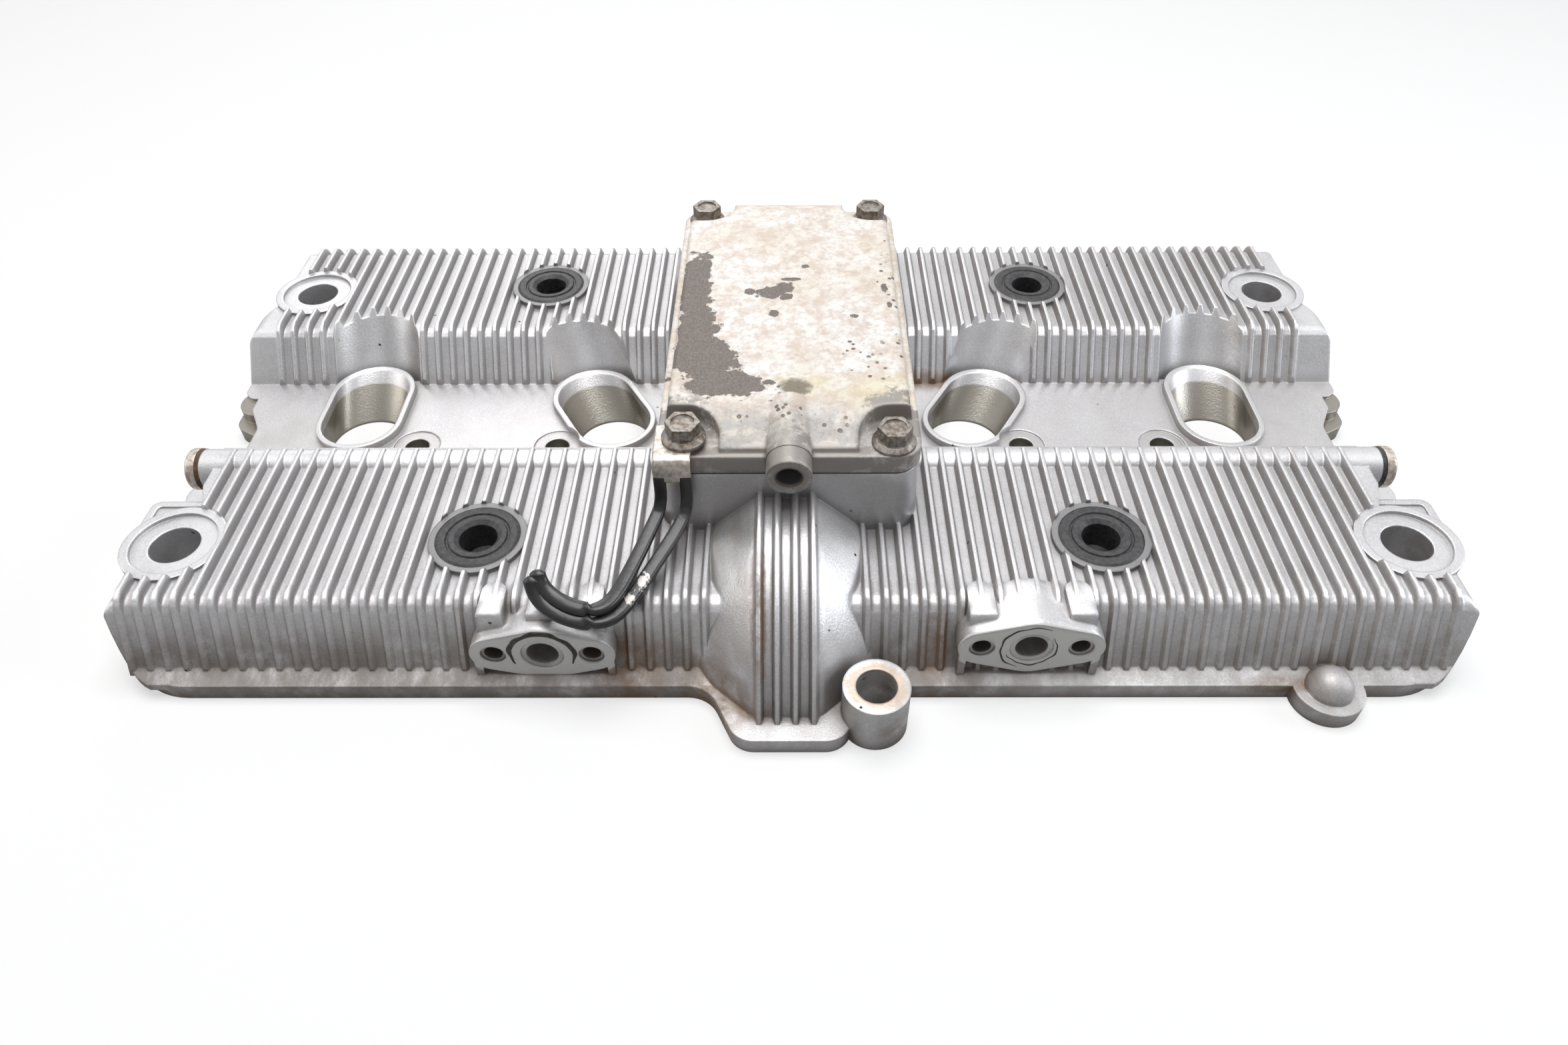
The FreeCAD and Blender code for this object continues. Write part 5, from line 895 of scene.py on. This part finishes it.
def rounded_section(half_width, half_height, power, sides):
    """Superellipse: |x/width|^power + |y/height|^power = 1, one row for each width and height."""
    angle = np.linspace(0.0, 2.0 * math.pi, sides, endpoint=False)
    cosine = np.sign(np.cos(angle)) * np.abs(np.cos(angle)) ** (2.0 / power[:, None])
    sine = np.sign(np.sin(angle)) * np.abs(np.sin(angle)) ** (2.0 / power[:, None])
    return half_width[:, None] * cosine, half_height[:, None] * sine


def carried(path, across, half_width, half_height, power, sides=20):
    """Vertices path + u across + v normal, with across kept square to the run of the path."""
    run = np.gradient(path, axis=0)
    run /= np.linalg.norm(run, axis=1)[:, None]
    across = across - run * np.sum(across * run, axis=1)[:, None]
    across /= np.linalg.norm(across, axis=1)[:, None]
    normal = np.cross(run, across)
    u, v = rounded_section(half_width, half_height, power, sides)
    return path[:, None] + u[..., None] * across[:, None] + v[..., None] * normal[:, None]


def tube_mesh(name, rings):
    """Closed skin over rings of points, with a fan at each end; faces point outwards."""
    count, sides = rings.shape[:2]
    i = np.arange(count - 1)[:, None] * sides
    j = np.arange(sides)[None]
    k = (j + 1) % sides
    quads = np.stack([i + j, i + k, i + sides + k, i + sides + j], axis=-1).reshape(-1, 4)
    ends = rings[[0, -1]].mean(axis=1)
    vertices = np.vstack([rings.reshape(-1, 3), ends]) * MM
    first = count * sides
    near = [(first, int(b), int(a)) for a, b in zip(j[0], k[0])]
    far_base = (count - 1) * sides
    far = [(first + 1, far_base + int(a), far_base + int(b)) for a, b in zip(j[0], k[0])]
    mesh = bpy.data.meshes.new(name)
    mesh.from_pydata(vertices.tolist(), [], quads.tolist() + near + far)
    mesh.validate()
    mesh.update()
    mesh.shade_smooth()
    piece = bpy.data.objects.new(name, mesh)
    bpy.context.scene.collection.objects.link(piece)
    return piece


print("section carrier ready")

# %% [markdown]
# ## The cable guide
#
# A bare sheet-metal tab is clamped under the front left bolt, bends down over the edge
# and splits into two legs. The legs were dipped in black plastic, run down over the
# fins and join in an upturned hook. Where the plastic has chipped off the right leg
# the metal shines through.

# %% Build the cable guide
GUIDE_X = -31.0
GUIDE_TOP = 52.1
STRAP_Y = -61.7
LEG_OFFSET = 3.45
LEG_START = (47.2, 43.6, 40.6)
BLEND_SPAN = (-0.2, 1.6)
TIP_SHARE = 0.03
DIP_CHIPS = (
    ((-38.2, -84.0, 29.8), (1.5, 2.6, 2.4)),
    ((-41.0, -89.5, 29.4), (1.2, 1.6, 2.4)),
)
DIP_BLACK = (0.012, 0.012, 0.013)
DIP_GREY = (0.04, 0.038, 0.037)
CHIP_METAL = (0.36, 0.34, 0.32)
LEG_LEFT = [(-34.5, -61.7, 38.6), (-34.9, -62.2, 36.6), (-36.0, -65.0, 34.6),
            (-41.2, -80.0, 31.5), (-44.6, -90.0, 30.6), (-47.6, -94.0, 30.6),
            (-52.5, -94.6, 31.0), (-58.5, -92.0, 31.4), (-62.4, -89.4, 32.6),
            (-64.2, -87.2, 34.6), (-64.4, -86.2, 37.2)]
LEG_RIGHT = [(-27.5, -61.7, 38.6), (-27.7, -62.4, 36.4), (-29.2, -66.4, 33.6),
             (-37.6, -82.0, 29.4), (-42.6, -92.0, 28.2), (-46.6, -96.2, 28.2),
             (-52.5, -96.8, 28.6), (-59.5, -94.4, 29.2), (-63.8, -91.4, 30.6),
             (-65.8, -88.8, 32.8), (-66.0, -87.4, 36.2)]
TAB_PATH = [(GUIDE_X, -47.4, GUIDE_TOP), (GUIDE_X, -53.0, GUIDE_TOP), (GUIDE_X, -58.4, GUIDE_TOP),
            (GUIDE_X, -60.8, GUIDE_TOP - 0.1), (GUIDE_X, STRAP_Y, GUIDE_TOP - 1.4),
            (GUIDE_X, STRAP_Y, 48.6), (GUIDE_X, STRAP_Y, 45.6)]


def strap(name, points, half_width, half_height, power, steps, rounded_end=False):
    """Strap along a smooth path; width, height and roundness blend from end to end, and a
    rounded tip shrinks as the root of the way left."""
    path = smooth_path(points, steps)
    share = np.clip(np.linspace(*BLEND_SPAN, steps), 0.0, 1.0)
    share = share * share * (3.0 - 2.0 * share)
    widths = half_width[0] + (half_width[1] - half_width[0]) * share
    heights = half_height[0] + (half_height[1] - half_height[0]) * share
    powers = power[0] + (power[1] - power[0]) * share
    if rounded_end:
        tip = np.sqrt(np.clip((1.0 - np.linspace(0.0, 1.0, steps)) / TIP_SHARE, 0.02, 1.0))
        widths, heights = widths * tip, heights * tip
    across = np.tile([1.0, 0.0, 0.0], (steps, 1))
    return tube_mesh(name, carried(path, across, widths, heights, powers))


tab = strap("guide_tab", TAB_PATH, half_width=(5.1, 5.1), half_height=(0.9, 0.9),
            power=(7.0, 7.0), steps=60)
legs = []
for word, side, route in (("left", -1.0, LEG_LEFT), ("right", 1.0, LEG_RIGHT)):
    start = [(GUIDE_X + side * LEG_OFFSET, STRAP_Y, z) for z in LEG_START]
    legs.append(strap("guide_leg_" + word, start + route[1:], half_width=(1.65, 2.1),
                      half_height=(1.0, 1.45), power=(5.0, 2.3), steps=160, rounded_end=True))

bare_steel = mottled("bare_tab", 1.6, (0.62, 0.59, 0.55), (0.40, 0.35, 0.30),
                     roughness=0.36, metallic=0.85, depth=0.05, soft=0.2)


def dipped_plastic():
    """Glossy black dip with metal showing through a few torn chips."""
    f = Finish("dipped_plastic")
    noise = f.mottle(2.4, 5.0)
    torn = f.mottle(1.2, 5.0)
    chips = f.either(*[f.blot(centre, radii, 0.1, torn, 1.6) for centre, radii in DIP_CHIPS])
    tint = f.colour(chips, f.colour(noise, DIP_BLACK, DIP_GREY), CHIP_METAL)
    return f.finish(tint, f.number(chips, 0.30, 0.45), f.times(chips, 0.8), noise, depth=0.12)


dress(tab, bare_steel)
dip = dipped_plastic()
for leg in legs:
    dress(leg, dip)
for piece in (tab, *legs):
    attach(piece, "root")
    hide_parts("cable_guide")
print("cable guide triangles:", sum(len(p.data.polygons) * 2 for p in (tab, *legs)))

# %% [markdown]
# ## Old sealant
#
# Rests of black sealant lie on the faces of the two pipe flanges: a fat arc around the
# left bore and thin threads around the right one. They are beads along arcs, a little
# uneven in height and width, half sunk in the face.

# %% Lay the sealant beads
BEADS = (
    ("sealant_left", LEFT_PIPE, 8.5, (-25.0, 205.0), 0.80, 0.4),
    ("sealant_right_outer", RIGHT_PIPE, 8.2, (60.0, 250.0), 0.28, 1.7),
    ("sealant_right_inner", RIGHT_PIPE, 6.6, (200.0, 400.0), 0.24, 2.9),
)
BEAD_STEPS = 70


def sealant_bead(name, centre, radius, span, thickness, wave):
    """Arc about the bore's axis whose radius and thickness vary as sums of two sines."""
    turn = np.radians(np.linspace(*span, BEAD_STEPS))
    ripple = np.sin(turn * 5.0 + wave) * 0.5 + np.sin(turn * 11.0 + wave * 2.0) * 0.3
    reach = radius + ripple * 0.35
    path = np.stack([centre[0] + reach * np.cos(turn), np.full(BEAD_STEPS, FACE_Y + 0.02),
                     centre[1] + reach * np.sin(turn)], axis=1)
    ends = np.sin(np.linspace(0.04, math.pi - 0.04, BEAD_STEPS)) ** 0.4
    wide = thickness * (1.0 + 0.3 * ripple) * ends
    across = np.tile([0.0, 1.0, 0.0], (BEAD_STEPS, 1))
    bead = tube_mesh(name, carried(path, across, wide * 0.6, wide, np.full(BEAD_STEPS, 2.0), 12))
    dress(bead, old_sealant)
    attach(bead, "root")
    return bead


old_sealant = mottled("old_sealant", 1.2, (0.012, 0.012, 0.012), (0.05, 0.045, 0.04),
                      roughness=0.42, metallic=0.0, depth=0.08, soft=0.0)
beads = [sealant_bead(*bead_facts) for bead_facts in BEADS]
print("sealant beads:", len(beads))
